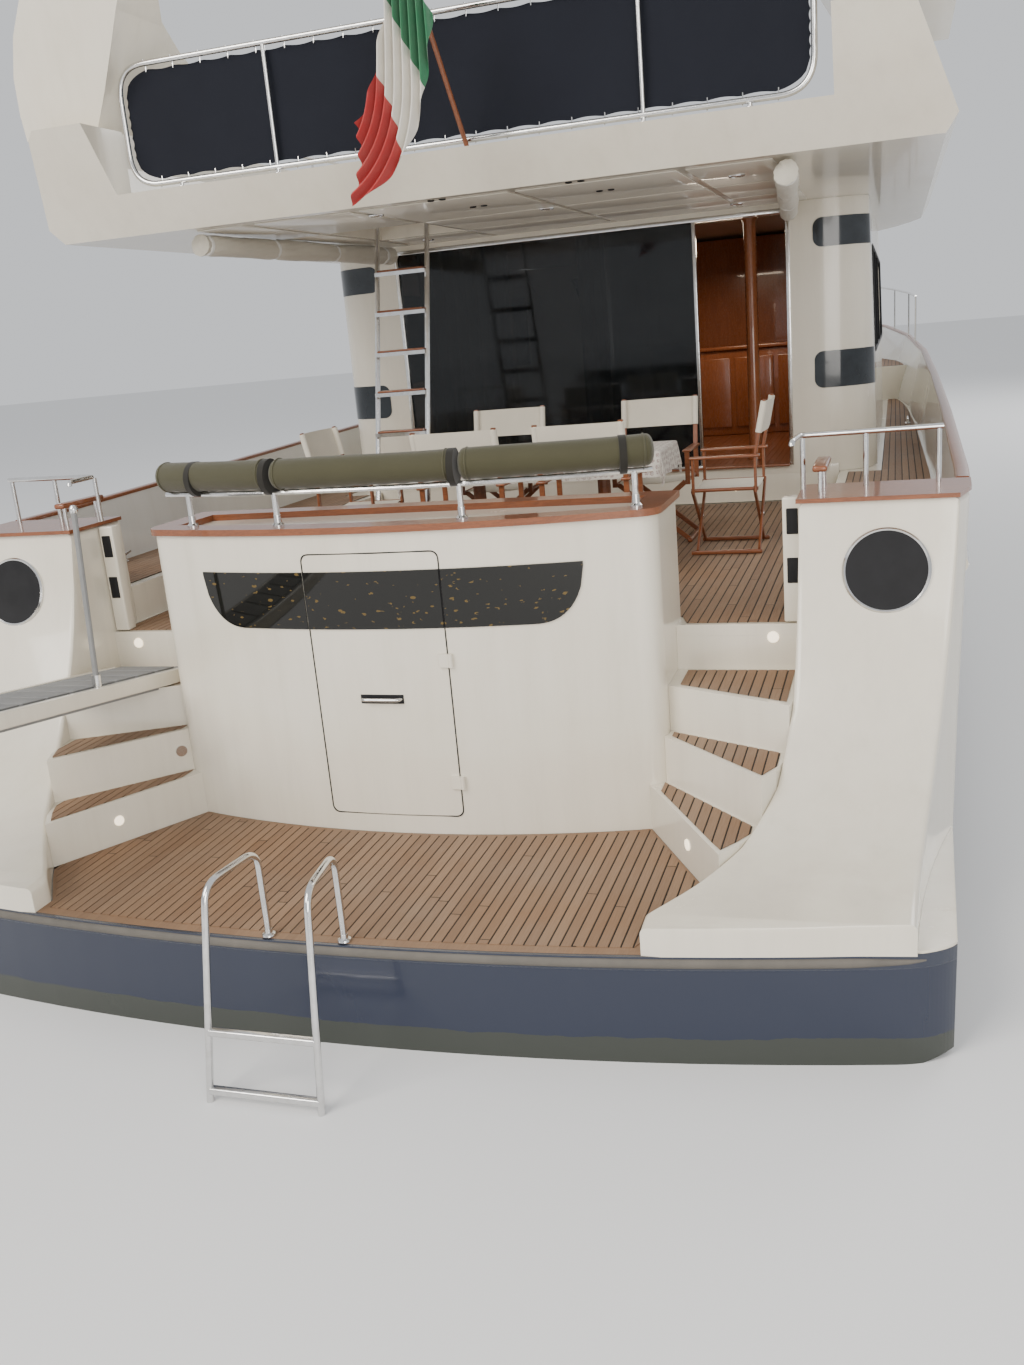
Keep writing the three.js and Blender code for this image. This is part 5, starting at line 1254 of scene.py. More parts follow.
# %% Wooden treads on the ladder
RUNGS = 7
rungs = np.linspace((-6.78, COCKPIT_Z), (-6.12, 3.83), RUNGS + 2)[1:-1]
put("ladder_treads", [rounded_block((-1.285, y - 0.055, z + 0.0145), (-0.915, y + 0.055, z + 0.030), 0.006)
                      for y, z in rungs], mahogany)
print(RUNGS, "treads")

# %% [markdown]
# The bathing ladder hangs from two hoops on the platform. Each leaves its foot straight up, bends aft over the
# rim, and comes down leaning away from the hull. The two spread apart on their way aft, so one function
# gives a point of either from how far aft it lies.

# %% Bathing ladder
HOOP_DECK_Y, HOOP_TOP, HOOP_REACH, HOOP_SPREAD = -10.958, 0.92, 0.365, 0.05
HOOP_FEET, LEG_LEAN, LEG_FOOT_Z = (-0.192, 0.182), 0.196, -0.52


def on_hoop(side, out, z):
    """A point of a hoop from how far aft of its foot it lies."""
    return HOOP_FEET[side] + (-1, 1)[side] * HOOP_SPREAD * out / HOOP_REACH, HOOP_DECK_Y - out, z


def leg_out(z):
    """How far aft of the foot the leaning leg is at a height."""
    return 0.372 + (HOOP_TOP - 0.085 - z) * LEG_LEAN


hoops, plates, splay = [], [], math.atan2(HOOP_SPREAD, HOOP_REACH)
for side in (0, 1):
    line = [on_hoop(side, 0, 0.5068), on_hoop(side, 0, HOOP_TOP), on_hoop(side, leg_out(HOOP_TOP), HOOP_TOP),
            on_hoop(side, leg_out(LEG_FOOT_Z), LEG_FOOT_Z)]
    across = math.cos(splay), (-1, 1)[side] * math.sin(splay), 0
    hoops.append(tube(bend(line, 0.09, smooth=10), 0.016, across=across))
    plates.append(turned([(0.0, 0), (0.032, 0), (0.030, 0.007), (0.018, 0.012), (0.017, 0.03), (0.0, 0.03)],
                         on_hoop(side, 0, PLATFORM_Z + RISE + 0.0005), sides=20))
for rung_z in (0.3, 0.05, -0.2, -0.45):
    left, right = np.array([on_hoop(side, leg_out(rung_z), rung_z) for side in (0, 1)])
    hoops.append(rounded_block(left - (0, 0.018, 0.016), right + (0, 0.018, 0.016), 0.008))
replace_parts(put("bathing_hoops", hoops + plates, stainless), "bathing_ladder")
print("bathing ladder bent")

# %% The gangway's slats, side beams and post
slope = math.radians(-8)
tilt = np.array([[1, 0, 0], [0, math.cos(slope), math.sin(slope)], [0, -math.sin(slope), math.cos(slope)]])
GANGWAY_PIN = (0, -9.30, 1.2613)


def put_on_gangway(name, shapes, finish, slot=None):
    """Moves shapes from the gangway's own level frame, with its pin at the origin, to the sloping plank."""
    points, faces = together(shapes)
    put(name, (points @ tilt + GANGWAY_PIN, faces), finish, slot, "passerelle")


slats = [rounded_block((-1.90, y - 0.085, 0.0315), (-1.54, y + 0.085, 0.040), 0.003)
         for y in np.arange(-2.62, -0.06, 0.19)]
beams = [rounded_block((x - 0.018, -2.745, -0.045), (x + 0.018, -0.05, 0.037), 0.008)
         for x in (-1.9575, -1.4825)]
knob = turned([(0.0, 0.0), (0.016, 0.0), (0.022, 0.014), (0.022, 0.026), (0.014, 0.040), (0.0, 0.044)],
              (-1.515, -0.880, 0.945))
collar = tube([(-1.515, -0.822, 0.03), (-1.515, -0.826, 0.10)], 0.024, 16, (1, 0, 0))
put_on_gangway("gangway_slats", slats, grey_grip, "teak")
put_on_gangway("gangway_beams", beams, cream)
put_on_gangway("gangway_post_fittings", [knob, collar], stainless)
print(len(slats), "slats on the gangway")


# %% [markdown]
# ## Under and on the flybridge
# A dark cloth is laced inside the stainless frame at the flybridge's stern. It is stretched, so it is nearly
# flat, but it dips in scallops between the hooks that hold its edge. In the grid below, the edge is drawn inward
# by that scallop, and the middle billows a few centimetres with the wind.

# %% The frame across the flybridge's stern
FRAME_Y, FRAME_HALF, FRAME_LOW, FRAME_HIGH, FRAME_CORNER = -8.1045, 2.09, 4.105, 4.79, 0.19
corners = [(0.3, FRAME_LOW), (FRAME_HALF, FRAME_LOW), (FRAME_HALF, FRAME_HIGH), (-FRAME_HALF, FRAME_HIGH),
           (-FRAME_HALF, FRAME_LOW), (0.0, FRAME_LOW)]
frame_line = bend([(x, FRAME_Y, z) for x, z in corners], FRAME_CORNER, smooth=12)
foot = [(0.0, 0), (0.030, 0), (0.028, 0.006), (0.013, 0.010), (0.012, 0.045), (0.0, 0.045)]
tubes = [tube(frame_line, 0.017, 14, (0, 1, 0), loop=True)]
tubes += [turned(foot, (x, FRAME_Y, 4.0655), sides=16) for x in (-1.75, -1.08, 1.17, 1.75)]
tubes += [tube([(x, FRAME_Y, z) for z in (FRAME_LOW, 4.4, FRAME_HIGH)], 0.014, 12, (1, 0, 0))
          for x in (-1.08, 1.17)]
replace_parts(put("fly_stern_tubes", tubes, stainless), "fly_stern_frame")
print(len(tubes), "tubes and feet")

# %% Laced windbreak
HOOK_STEP, CLOTH_Y = 0.19, -8.0765
u, v = np.linspace(-1, 1, 181), np.linspace(-1, 1, 41)[:, None]
corner_cut = np.clip((np.abs(u) * FRAME_HALF - (FRAME_HALF - 0.17)) / 0.17, 0, 1)
half_high = (FRAME_HIGH - FRAME_LOW) / 2 - 0.028 - 0.15 * (1 - np.sqrt(1 - np.minimum(corner_cut, 0.999) ** 2))
scallop = 0.010 * np.abs(np.sin(u * FRAME_HALF * np.pi / HOOK_STEP)) * np.abs(v) ** 6
cloth_x = u * (FRAME_HALF - 0.019) * (1 - 0.004 * np.abs(np.sin(v * 9)) * np.abs(u) ** 10)
cloth_z = (FRAME_LOW + FRAME_HIGH) / 2 + v * (half_high - scallop)
billow = 0.012 * (1 - u ** 2) * (1 - v ** 2) + 0.002 * np.sin(14 * u + 2 * v) * (1 - v ** 4)
screen = put("windbreak_cloth", slab(grid_of(cloth_x, CLOTH_Y + billow, cloth_z), (0, CANVAS, 0)),
             windbreak_cloth,
             uv=flat_map(cloth_x, cloth_z), crease=60)
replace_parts(screen, "windbreak")
hook = np.array([(-8.105, -0.021), (-8.086, -0.012), (-8.080, 0.02), (-8.081, 0.046)])
hooks = [tube([(x, y, z + s * up) for y, up in hook], 0.0035, 6, (1, 0, 0))
         for x in np.arange(-1.9, 1.95, HOOK_STEP)
         for z, s in ((FRAME_LOW, 1), (FRAME_HIGH, -1))]
put("windbreak_hooks", hooks, stainless)
for name, x in (("port", 0.93), ("starboard", 1.62)):
    put(f"rail_lamp_{name}", rounded_block((x - 0.05, -8.112, 4.805), (x + 0.05, -8.062, 4.86), 0.014),
        white_plastic)
print(len(hooks), "hooks")

# %% [markdown]
# The ensign is bunting in three upright bands, green at the hoist, then white and red. In still air it hangs
# from its upper corner, so the slanting line from that corner to the far lower one becomes plumb and the cloth
# gathers about it in long folds. Each point of the flat cut is measured in two ways: how far down that slanting
# line it lies, and how far to the side. The first runs along a curved path that drifts to port near the bottom.
# The second is squeezed to a third, and a wave from fore to aft takes up the spare width, so no length is lost.

# %% Ensign
staff_foot, staff_head = np.array([0.15, -8.116, 4.025]), np.array([0.06, -8.80, 5.15])
tie = staff_foot + (staff_head - staff_foot) * 0.93
FLY, HOIST, SQUEEZE, FOLD, LONGEST = 1.20, 0.80, 0.34, 0.155, 1.45
s, t = np.linspace(0, FLY, 190), np.linspace(0, HOIST, 130)[:, None]
slant = math.atan2(HOIST, FLY)
down = s * math.cos(slant) + t * math.sin(slant)
aside = t * math.cos(slant) - s * math.sin(slant)
steps = np.linspace(0, LONGEST, 200)
drift = math.radians(52) * np.clip((steps - 0.72) / 0.65, 0, 1) ** 1.4 + math.radians(4)
middle_x = np.concatenate([[0], np.cumsum(np.sin(drift[:-1]) * np.diff(steps))])
middle_z = np.concatenate([[0], np.cumsum(np.cos(drift[:-1]) * np.diff(steps))])
turn = np.interp(down, steps, drift)
squeezed = aside * SQUEEZE * (0.7 + 0.45 * down / LONGEST)
folded = np.sqrt(1 - SQUEEZE ** 2) * 0.205 * FOLD * np.sin(2 * np.pi * aside / FOLD + 1.1 * down)
folded = folded + 0.035 * np.sin(3.2 * down) * down
spread = np.stack([tie[0] - np.interp(down, steps, middle_x) + squeezed * np.cos(turn),
                   tie[1] - 0.022 + folded - folded[0, 0] - 0.02 * down,
                   tie[2] - np.interp(down, steps, middle_z) - squeezed * np.sin(turn)], -1)
bunting, tree, shader = new_finish("ensign_bunting", Sheen_Weight=0.25, Specular_IOR_Level=0.2)
place = wire(tree, "UVMap").outputs["UV"]
far = wire(tree, "SeparateXYZ", {0: place}).outputs["X"]
threads = place_group(tree, weave, Place=place, Thread=0.0016)
bands = between(tree, maths(tree, "GREATER_THAN", far, FLY / 3), (0.012, 0.17, 0.07), (0.72, 0.69, 0.62))
bands = between(tree, maths(tree, "GREATER_THAN", far, 2 * FLY / 3), bands, (0.42, 0.020, 0.022))
bands = between(tree, maths(tree, "MULTIPLY", patches(tree, 0.12, 1.5), 0.25), bands, (0.25, 0.22, 0.18))
paint(tree, shader, bands)
roughness_from(tree, shader, threads["Height"], 0.7, 0.9)
raise_surface(tree, shader, threads["Height"], 0.0004, 0.4)
flag = put("ensign_cloth", slab(spread, (0, 0.0012, 0)), bunting, "ensign_cloth", uv=flat_map(s, t),
           crease=70)
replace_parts(flag, "ensign")
put("ensign_toggle", turned([(0.0, -0.03), (0.019, -0.03), (0.021, 0.0), (0.019, 0.03), (0.0, 0.03)], tie,
                            staff_head - staff_foot, 16), stainless)
print("ensign from", spread.reshape(-1, 3).min(0).round(2), "to", spread.reshape(-1, 3).max(0).round(2))

# %% [markdown]
# ## The cabin's aft end
# The cabin turns from its aft wall to its sides round a generous corner, and CAD gives that as a few flat
# strips. A thin skin covers them: s is the distance along the wall in plan, from the saloon's opening round the
# corner to the first side window, and the other parameter is height. The skin is 3 mm proud in the middle and
# fades to nothing at both ends, so no joint shows. Glass bands lie on it in the same two parameters.

# %% The corner's skin and its dark bands
OPENING_X, CORNER_START_X, HOUSE_X, AFT_WALL_Y, WINDOW_Y = 1.70, 1.88, 2.35, -4.85, -3.89
HOUSE_LEAN = 0.0282
t = np.linspace(0, 1, 60)
corner_x = (1 - t) ** 2 * CORNER_START_X + (2 * t * (1 - t) + t ** 2) * HOUSE_X
plan_x = np.concatenate([[OPENING_X], corner_x, [HOUSE_X]])
plan_y = np.concatenate([[AFT_WALL_Y], AFT_WALL_Y + 0.42 * t ** 2, [WINDOW_Y]])
run = np.concatenate([[0], np.cumsum(np.hypot(np.diff(plan_x), np.diff(plan_y)))])
tangent = np.stack([np.gradient(plan_x, run), np.gradient(plan_y, run)])
tangent /= np.linalg.norm(tangent, axis=0)


def cabin_wall(s, z, proud):
    """A point on the wall, moved outward by proud. The sides lean in a little as they rise."""
    s, z, proud = np.broadcast_arrays(s, z, proud)
    x, y = np.interp(s, run, plan_x), np.interp(s, run, plan_y)
    out_x, out_y = np.interp(s, run, tangent[1]), -np.interp(s, run, tangent[0])
    lean = HOUSE_X - HOUSE_LEAN * (z - SIDE_DECK_Z)
    return np.stack([np.minimum(x, lean) + proud * out_x, y + proud * out_y, z], -1)


s, z = np.linspace(0.006, run[-1] - 0.004, 70), np.linspace(1.703, 3.827, 30)[:, None]
fade = np.clip(np.minimum(s, run[-1] - s) / 0.12, 0, 1)
skin = cabin_wall(s, z, 0.0006 + 0.0026 * fade)
on_both_sides("cabin_corner", slab(skin, cabin_wall(s, z, -0.002) - skin), cream, crease=60)


def wall_band(s_from, s_to, z_from, z_to, radius, proud=0.0075):
    """A band of glass with round ends: towards each end its height shrinks as a quarter circle does."""
    s = s_from + (s_to - s_from) * (0.5 - 0.5 * np.cos(np.linspace(0, np.pi, 64)))
    half = (z_to - z_from) / 2 - radius * (1 - rounding(np.minimum(s - s_from, s_to - s) / radius)) + 1e-4
    z = (z_from + z_to) / 2 + half * np.linspace(-1, 1, 10)[:, None]
    top = cabin_wall(s, z, proud)
    return slab(top, cabin_wall(s, z, 0.0) - top)


for name, z_from, z_to in (("upper", 3.47, 3.69), ("lower", 2.38, 2.67)):
    on_both_sides(f"corner_band_{name}", wall_band(0.17, run[-1] - 0.06, z_from, z_to, 0.07), tinted_glass)
print("the wall runs", round(float(run[-1]), 2), "m round the corner")

# %% Frames of the saloon's glass, the sliding door's stiles and pull, and the column behind
put("saloon_frame", [rounded_block(low, high, radius) for low, high, radius in (
    ((-1.694, -4.862, 1.772), (-1.662, -4.792, 3.788), 0.005),
    ((1.658, -4.862, 1.772), (1.690, -4.792, 3.788), 0.005),
    ((-1.66, -4.860, 3.755), (1.66, -4.792, 3.788), 0.005),
    ((-1.66, -4.860, 1.772), (0.93, -4.795, 1.800), 0.005),
    ((0.912, -4.852, 1.80), (0.940, -4.800, 3.76), 0.006))], stainless)
pull = bend([(0.905, y, z) for y, z in ((-4.745, 2.80), (-4.700, 2.80), (-4.700, 3.06), (-4.745, 3.06))],
            0.02)
stiles = [rounded_block((x_from, -4.788, 1.786), (x_to, -4.744, 3.764), 0.006)
          for x_from, x_to in ((0.898, 0.933), (0.167, 0.20))]
put("saloon_door_stile", stiles + [tube(pull, 0.009, 10, (1, 0, 0))], stainless, body="saloon_door")

column = turned([(0.0, 0), (0.075, 0), (0.075, 0.03), (0.055, 0.05), (0.052, 1.0), (0.052, 1.97),
                 (0.07, 2.0), (0.07, 2.03), (0.0, 2.03)],
                (1.32, -4.30, 1.776), sides=36)
put("saloon_column", column, upright_wood)
print("saloon framed")

# %% [markdown]
# Curtains hang inside the glass in deep folds. The cloth is a good deal wider than the gap it hangs across: its
# fold is a wave in plan whose amplitude makes the path as long as the cloth is wide. Lower down the folds
# open and drift a little, as heavy cloth does.

# %% Curtains
CURTAIN_Y, CURTAIN_TOP, CURTAIN_DROP, CURTAIN_FOLD = -4.62, 3.77, 1.96, 0.042


def curtain(name, x_from, x_to, folds):
    """A gathered curtain: x runs across, and a wave in y takes up the spare width."""
    width = x_to - x_from
    u, v = np.linspace(0, 1, 26 * folds), np.linspace(0, 1, 26)[:, None]
    phase = 2 * np.pi * folds * (u + 0.012 * np.sin(5 * u + 3 * v))
    wave = CURTAIN_FOLD * (0.75 + 0.35 * v) * np.sin(phase) + 0.006 * np.sin(2.7 * phase + 4 * v)
    top = grid_of(x_from + width * u + 0.006 * np.sin(2 * phase) * v, CURTAIN_Y + wave,
                  CURTAIN_TOP - CURTAIN_DROP * v)
    length = float(np.hypot(np.diff(top[12, :, 0]), np.diff(top[12, :, 1])).sum())
    made = put(name, slab(top, (0, 0.0015, 0)), curtain_cloth, uv=flat_map(length * u, CURTAIN_DROP * v),
               crease=70)
    return length


put("curtain_rail", tube([(x, CURTAIN_Y, CURTAIN_TOP + 0.002) for x in (-1.63, 0.0, 1.60)], 0.012, 10),
    stainless)
widths = [curtain("curtain_port", -1.58, -0.72, 9), curtain("curtain_middle", -0.12, 0.62, 8)]
print("curtains were cut", [round(w, 2) for w in widths], "m wide")

# %% Ceiling panels and lamps under the flybridge
PANEL_Z, CEILING_Z, PANEL_AFT_Y = 3.8235, 3.8298, -7.86
panels = [(-1.84, -1.50, PANEL_AFT_Y, -6.72), (-1.84, -1.50, -6.68, -4.96),
          (-1.42, -0.75, PANEL_AFT_Y, -6.72),
          (-1.42, -0.75, -5.60, -4.96)]
panels += [(x_from, x_to, y_from, y_to) for x_from, x_to in ((-0.69, 0.28), (0.33, 1.30), (1.35, 1.84))
           for y_from, y_to in ((PANEL_AFT_Y, -6.72), (-6.68, -5.78), (-5.74, -4.96))]
put("ceiling_panels", [rounded_block((x_from, y_from, PANEL_Z), (x_to, y_to, 3.8296), 0.003, 3)
                       for x_from, x_to, y_from, y_to in panels], liner_white, crease=50)
lamp_places = [(1.57, -7.26), (1.337, -5.286), (-0.714, -7.528), (0.20, -6.662), (-1.20, -5.286)]
bezel = [(0.034, 0.0), (0.052, 0.0), (0.050, -0.006), (0.036, -0.010), (0.034, -0.006)]
put("downlight_rims", [turned(bezel, (x, y, PANEL_Z), sides=28) for x, y in lamp_places], stainless)
twin = [(0.0, 0.0), (0.021, 0.0), (0.021, -0.006), (0.013, -0.008), (0.0, -0.004)]
twins = [turned(twin, (x + side, y, CEILING_Z if y < PANEL_AFT_Y else PANEL_Z), sides=20)
         for x, y in ((-0.155, -7.90), (-0.072, -7.345), (0.720, -7.945), (0.770, -7.362))
         for side in (-0.037, 0.037)]
put("ceiling_twin_fittings", twins, black_rubber)
lamp_lens, tree, shader = new_finish("lamp_lens", Roughness=0.3, Emission_Color=(1.0, 0.82, 0.58, 1),
                                     Emission_Strength=2.2)
paint(tree, shader, between(tree, patches(tree, 0.03, 1.0), (0.85, 0.80, 0.70), (0.75, 0.70, 0.60)))
lenses = [turned([(0.0, -0.0015), (0.0345, -0.0015), (0.0345, -0.004), (0.0, -0.006)], (x, y, PANEL_Z),
                 sides=28)
          for x, y in lamp_places]
lenses += [turned([(0.0, 0.0), (0.03, 0.0), (0.028, 0.008), (0.0, 0.010)], at, (0, -1, 0), 24)
           for at in ((1.20, -4.8485, 1.60), (1.9, -9.1505, 1.40), (-1.9, -9.1505, 1.40))]
put("lamp_lenses", lenses, lamp_lens, "moulded_plastic")
print(len(panels), "panels and", len(lenses), "lamps")

# %% [markdown]
# The side curtain of the cockpit is rolled up under the flybridge's edge and tied. Rolled canvas is not a true
# cylinder: it has a spiral edge, it sags between its ties, and each tie bites into it. The radius below is the
# mean one, with a step once round for the free edge, a pinch at each tie, and shallow slanting creases.

# %% Rolled side curtains
CURTAIN_ROWS = 120


def rolled_curtain(name, start, end, radius, ties, replaces=None):
    """Canvas rolled and tied: a tube whose radius is pinched at the ties and stepped along the free edge."""
    t, around = np.linspace(0, 1, CURTAIN_ROWS)[:, None], circle(44)
    path = np.array(start) + (np.array(end) - np.array(start)) * t
    pinch = sum(np.exp(-((t - tie) / 0.012) ** 2) for tie in ties)
    crease = 0.030 * np.sin(7 * around + 46 * t) * (0.5 + pinch) + 0.045 * np.sin(2 * around + 13 * t)
    crease = crease + 0.018 * np.sin(13 * around - 90 * t + 2 * np.sin(17 * t))
    size = radius * (0.86 + 0.05 * around / (2 * np.pi) + crease - 0.16 * pinch)
    closing = np.maximum(rounding(np.minimum(t, 1 - t) / 0.006), math.sqrt(0.1))
    uv = np.stack(np.broadcast_arrays(t * 3, around * radius), -1)
    roll = put(name, round_shell(roll_grid(path, size * closing, around)), awning_canvas, uv=uv, crease=60)
    if replaces:
        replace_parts(roll, replaces)
    bands = []
    for tie in ties:
        first, last = (int((tie + side) * (CURTAIN_ROWS - 1)) for side in (-0.004, 0.004))
        bands.append(carried(np.linspace(path[first], path[last], 3), ring(radius * 0.87, 30)))
    put(f"{name}_ties", bands, tie_tape)


rolled_curtain("side_curtain_port", (-1.88, -7.80, 3.749), (-1.66, -4.98, 3.749), 0.078,
               (0.03, 0.33, 0.64, 0.94), "awning_roll")
rolled_curtain("side_curtain_starboard", (1.915, -7.90, 3.747), (1.70, -4.98, 3.747), 0.076,
               (0.04, 0.35, 0.66, 0.95))
print("side curtains rolled")

# %% The step below the saloon door, a cabinet inside, and the lights and ports in the stairs' risers
put("saloon_step", rounded_block((-2.055, -4.848, 1.4765), (2.055, -4.826, 1.765), 0.004), cream)
put("saloon_threshold", rounded_block((-1.66, -4.900, 1.7655), (1.66, -4.852, 1.785), 0.007), mahogany)
joinery = [rounded_block((0.35, -1.9, 1.776), (2.20, -1.42, 2.66), 0.012),
           rounded_block((0.32, -1.93, 2.661), (2.22, -1.40, 2.70), 0.012),
           rounded_block((0.35, -1.40, 1.776), (2.20, -1.36, 3.80), 0.01)]
joinery += [rounded_block((x, -1.918, 1.86), (x + 0.40, -1.901, 2.58), 0.008)
            for x in (0.42, 0.87, 1.32, 1.77)]
put("saloon_joinery", joinery, upright_wood)


def riser_fitting(step, part, height, profile):
    """A round fitting on a stair's riser, square to the slanting face."""
    _, x0, y0, x1, y1 = nosings[step]
    run_x, run_y = x1 - x0, y1 - y0
    out = np.array([run_y, -run_x, 0]) / math.hypot(run_x, run_y)
    return turned(profile, np.array([x0 + part * run_x, y0 + part * run_y, height]) + 0.0004 * out, out, 24)


light = riser_fitting(0, 0.5, 0.63, [(0.0, 0.0), (0.028, 0.0), (0.026, 0.006), (0.0, 0.008)])
on_both_sides("riser_lamp", light, lamp_lens, "moulded_plastic")
for name, finish, profile in (
        ("riser_port_rim", stainless, [(0.020, 0.0), (0.034, 0.0), (0.032, 0.008), (0.022, 0.008)]),
        ("riser_port_plug", black_rubber, [(0.0, 0.0), (0.021, 0.0), (0.021, 0.004), (0.0, 0.003)])):
    put(name, other_side(riser_fitting(1, 0.13, 0.87, profile)), finish)
print("step, joinery and risers")

# %% The gate posts at the head of the stairs
on_both_sides("gate_post", rounded_block((1.958, -9.142, 1.4765), (2.052, -9.06, 2.115), 0.010), cream)
on_both_sides("gate_catch", [rounded_block((1.978, -9.1475, z), (2.036, -9.137, z + 0.13), 0.005)
                             for z in (1.68, 1.93)], black_rubber)
print("gate posts stand")


# %% [markdown]
# ## Cushions
# A boat cushion is a slab of foam in a cover. Its top crowns where the foam pushes up
# between the seams, and its sides bulge a little. In the grid, u goes along the cushion and v across it, and the
# top's height is the product of two arches, so that it is highest in the middle and falls to the edges. A welt
# goes round the sides.

# %% A padded cushion
CROWN, SOFT_EDGE, WELT_EDGE = 0.022, 0.035, 0.002


def cushion(name, low, high, channels=0, replaces=None):
    """A crowned slab with bulging sides. Channels are stitched valleys across it."""
    low, high = np.asarray(low, float), np.asarray(high, float)
    size = high - low
    u, v = np.linspace(-1, 1, 48 + 12 * channels), np.linspace(-1, 1, 48)[:, None]
    half_x, half_y = size[0] / 2, size[1] / 2
    near = rounding(np.minimum(half_x * (1 - np.abs(u)), half_y * (1 - np.abs(v))) / SOFT_EDGE)
    arch = (1 - u ** 2) * (1 - v ** 2)
    valley = 0
    if channels:
        along = (u + 1) / 2 * channels
        valley = 0.012 * np.exp(-((along - np.round(along)) * size[0] / channels
                                  / 0.014) ** 2) * (np.abs(u) < 0.97)
    dimple = 0.003 * np.sin(9 * u * half_x + 2) * np.sin(8 * v * half_y + 1)
    room = size[2] - CROWN
    top_z = low[2] + room * 0.55 + near * room * 0.45 + CROWN * (arch ** 0.45) * near + (dimple - valley) * near
    low_z = low[2] + 0.004 + (1 - near) * room * 0.45
    x, y = (low[0] + high[0]) / 2 + half_x * u, (low[1] + high[1]) / 2 + half_y * v
    top = grid_of(x, y, top_z)
    made = put(name, slab(top, grid_of(x, y, low_z) - top), seat_cloth, uv=flat_map(x, y), crease=60)
    if replaces:
        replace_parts(made, replaces)
    middle, (west, south), (east, north) = (low[0] + high[0]) / 2, low[:2] + WELT_EDGE, high[:2] - WELT_EDGE
    corners = [(middle, south), (east, south), (east, north), (west, north), (west, south),
               (middle - 0.001, south)]
    line = bend([(x, y, low[2] + room * 0.52) for x, y in corners], 0.03, smooth=5)
    put(f"{name}_welt", tube(line, 0.005, 8), seat_cloth, crease=60)


cushion("sunpad_port", (-0.948, 3.352, 2.4712), (-0.006, 5.548, 2.60), channels=5, replaces="sunpad")
cushion("sunpad_starboard", (0.006, 3.352, 2.4712), (0.948, 5.548, 2.60), channels=5)
print("two sunpads are on the coachroof")

# %% [markdown]
# The seats of the flybridge stand on moulded bases. Each CAD seat is one solid, so it is replaced by a
# gelcoat base below and by cushions above, with the backrest leaning as the CAD one does.

# %% Helm seat and sofa
SEAT_FOOT_Z = 4.0008
put("helm_seat_base", [rounded_block((0.36, -1.30, SEAT_FOOT_Z), (1.44, -0.82, 4.31), 0.02),
                       rounded_block((0.36, -1.345, SEAT_FOOT_Z), (1.44, -1.30, 4.40), 0.012)], cream,
                       crease=50)
cushion("helm_seat_squab", (0.345, -1.215, 4.3115), (1.455, -0.805, 4.425), channels=2, replaces="helm_seat")


def leaning_pad(name, low, high, lean):
    """An upright cushion that leans back: a crowned slab stood on its edge, then sheared."""
    low, high = np.asarray(low, float), np.asarray(high, float)
    u, v = np.linspace(-1, 1, 60), np.linspace(-1, 1, 28)[:, None]
    half = (high - low) / 2
    near = rounding(np.minimum(half[0] * (1 - np.abs(u)), half[2] * (1 - np.abs(v))) / 0.03)
    bulge = half[1] * (0.30 + 0.55 * near + 0.15 * ((1 - u ** 2) * (1 - v ** 2)) ** 0.5)
    x, z = (low[0] + high[0]) / 2 + half[0] * u, (low[2] + high[2]) / 2 + half[2] * v
    y = (low[1] + high[1]) / 2 + lean * (z - low[2]) / (high[2] - low[2])
    front = grid_of(x, y + bulge, z)
    made = put(name, slab(front, grid_of(x, y - bulge, z) - front), seat_cloth, uv=flat_map(x, z), crease=60)


leaning_pad("helm_seat_back", (0.345, -1.30, 4.405), (1.455, -1.20, 4.845), -0.07)
sofa_base = [rounded_block((-2.095, -4.395, SEAT_FOOT_Z), (-1.43, -1.505, 4.28), 0.02),
             rounded_block((-1.975, -1.60, SEAT_FOOT_Z), (-0.305, -0.935, 4.28), 0.02)]
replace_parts(put("fly_sofa_base", sofa_base, cream, crease=50), "fly_sofa")
for number, (x_from, x_to, y_from, y_to) in enumerate((
        (-2.095, -1.405, -4.395, -3.44), (-2.095, -1.405, -3.43, -2.48), (-2.095, -1.405, -2.47, -1.62),
        (-1.975, -1.155, -1.61, -0.905), (-1.145, -0.305, -1.61, -0.905)), 1):
    cushion(f"sofa_squab_{number}", (x_from, y_from, 4.2815), (x_to, y_to, 4.40))
print("flybridge seats are covered")

# %% [markdown]
# The helm has four dials, two throttle levers and a small screen. The dials and the wheel's boss lie on the
# console's sloping face, so they are turned about that face's own normal. The rest stands on its top.

# %% Helm instruments
face_foot, face_rise = np.array([0, -0.10, 4.30]), np.array([0, 0.16, 0.40])
tilt_normal = np.cross(face_rise, (-1, 0, 0)) / np.linalg.norm(face_rise)


def on_dash(x, up):
    """A point on the sloping face, a fraction of the way up it."""
    return np.array([x, 0, 0]) + face_foot + up * face_rise + 0.0004 * tilt_normal


for name, finish, profile in (
        ("helm_dials", black_rubber,
         [(0.0, 0.0), (0.052, 0.0), (0.052, 0.010), (0.046, 0.013), (0.043, 0.007), (0.0, 0.007)]),
        ("helm_dial_glass", tinted_glass, [(0.0, 0.008), (0.042, 0.008), (0.040, 0.011), (0.0, 0.0115)])):
    put(name, [turned(profile, on_dash(x, 0.84), tilt_normal, 28) for x in (0.60, 0.73, 1.07, 1.20)], finish)
levers, knob = [], [(0.0, -0.02), (0.014, -0.015), (0.016, 0.0), (0.014, 0.015), (0.0, 0.02)]
for x in (1.235, 1.275):
    levers += [tube(bend([(x, 0.16, 4.73), (x, 0.10, 4.84), (x, 0.06, 4.87)], 0.02), 0.008, 10, (1, 0, 0)),
               turned(knob, (x, 0.055, 4.872), (1, 0, 0), 16)]
put("throttle_levers", levers, stainless)
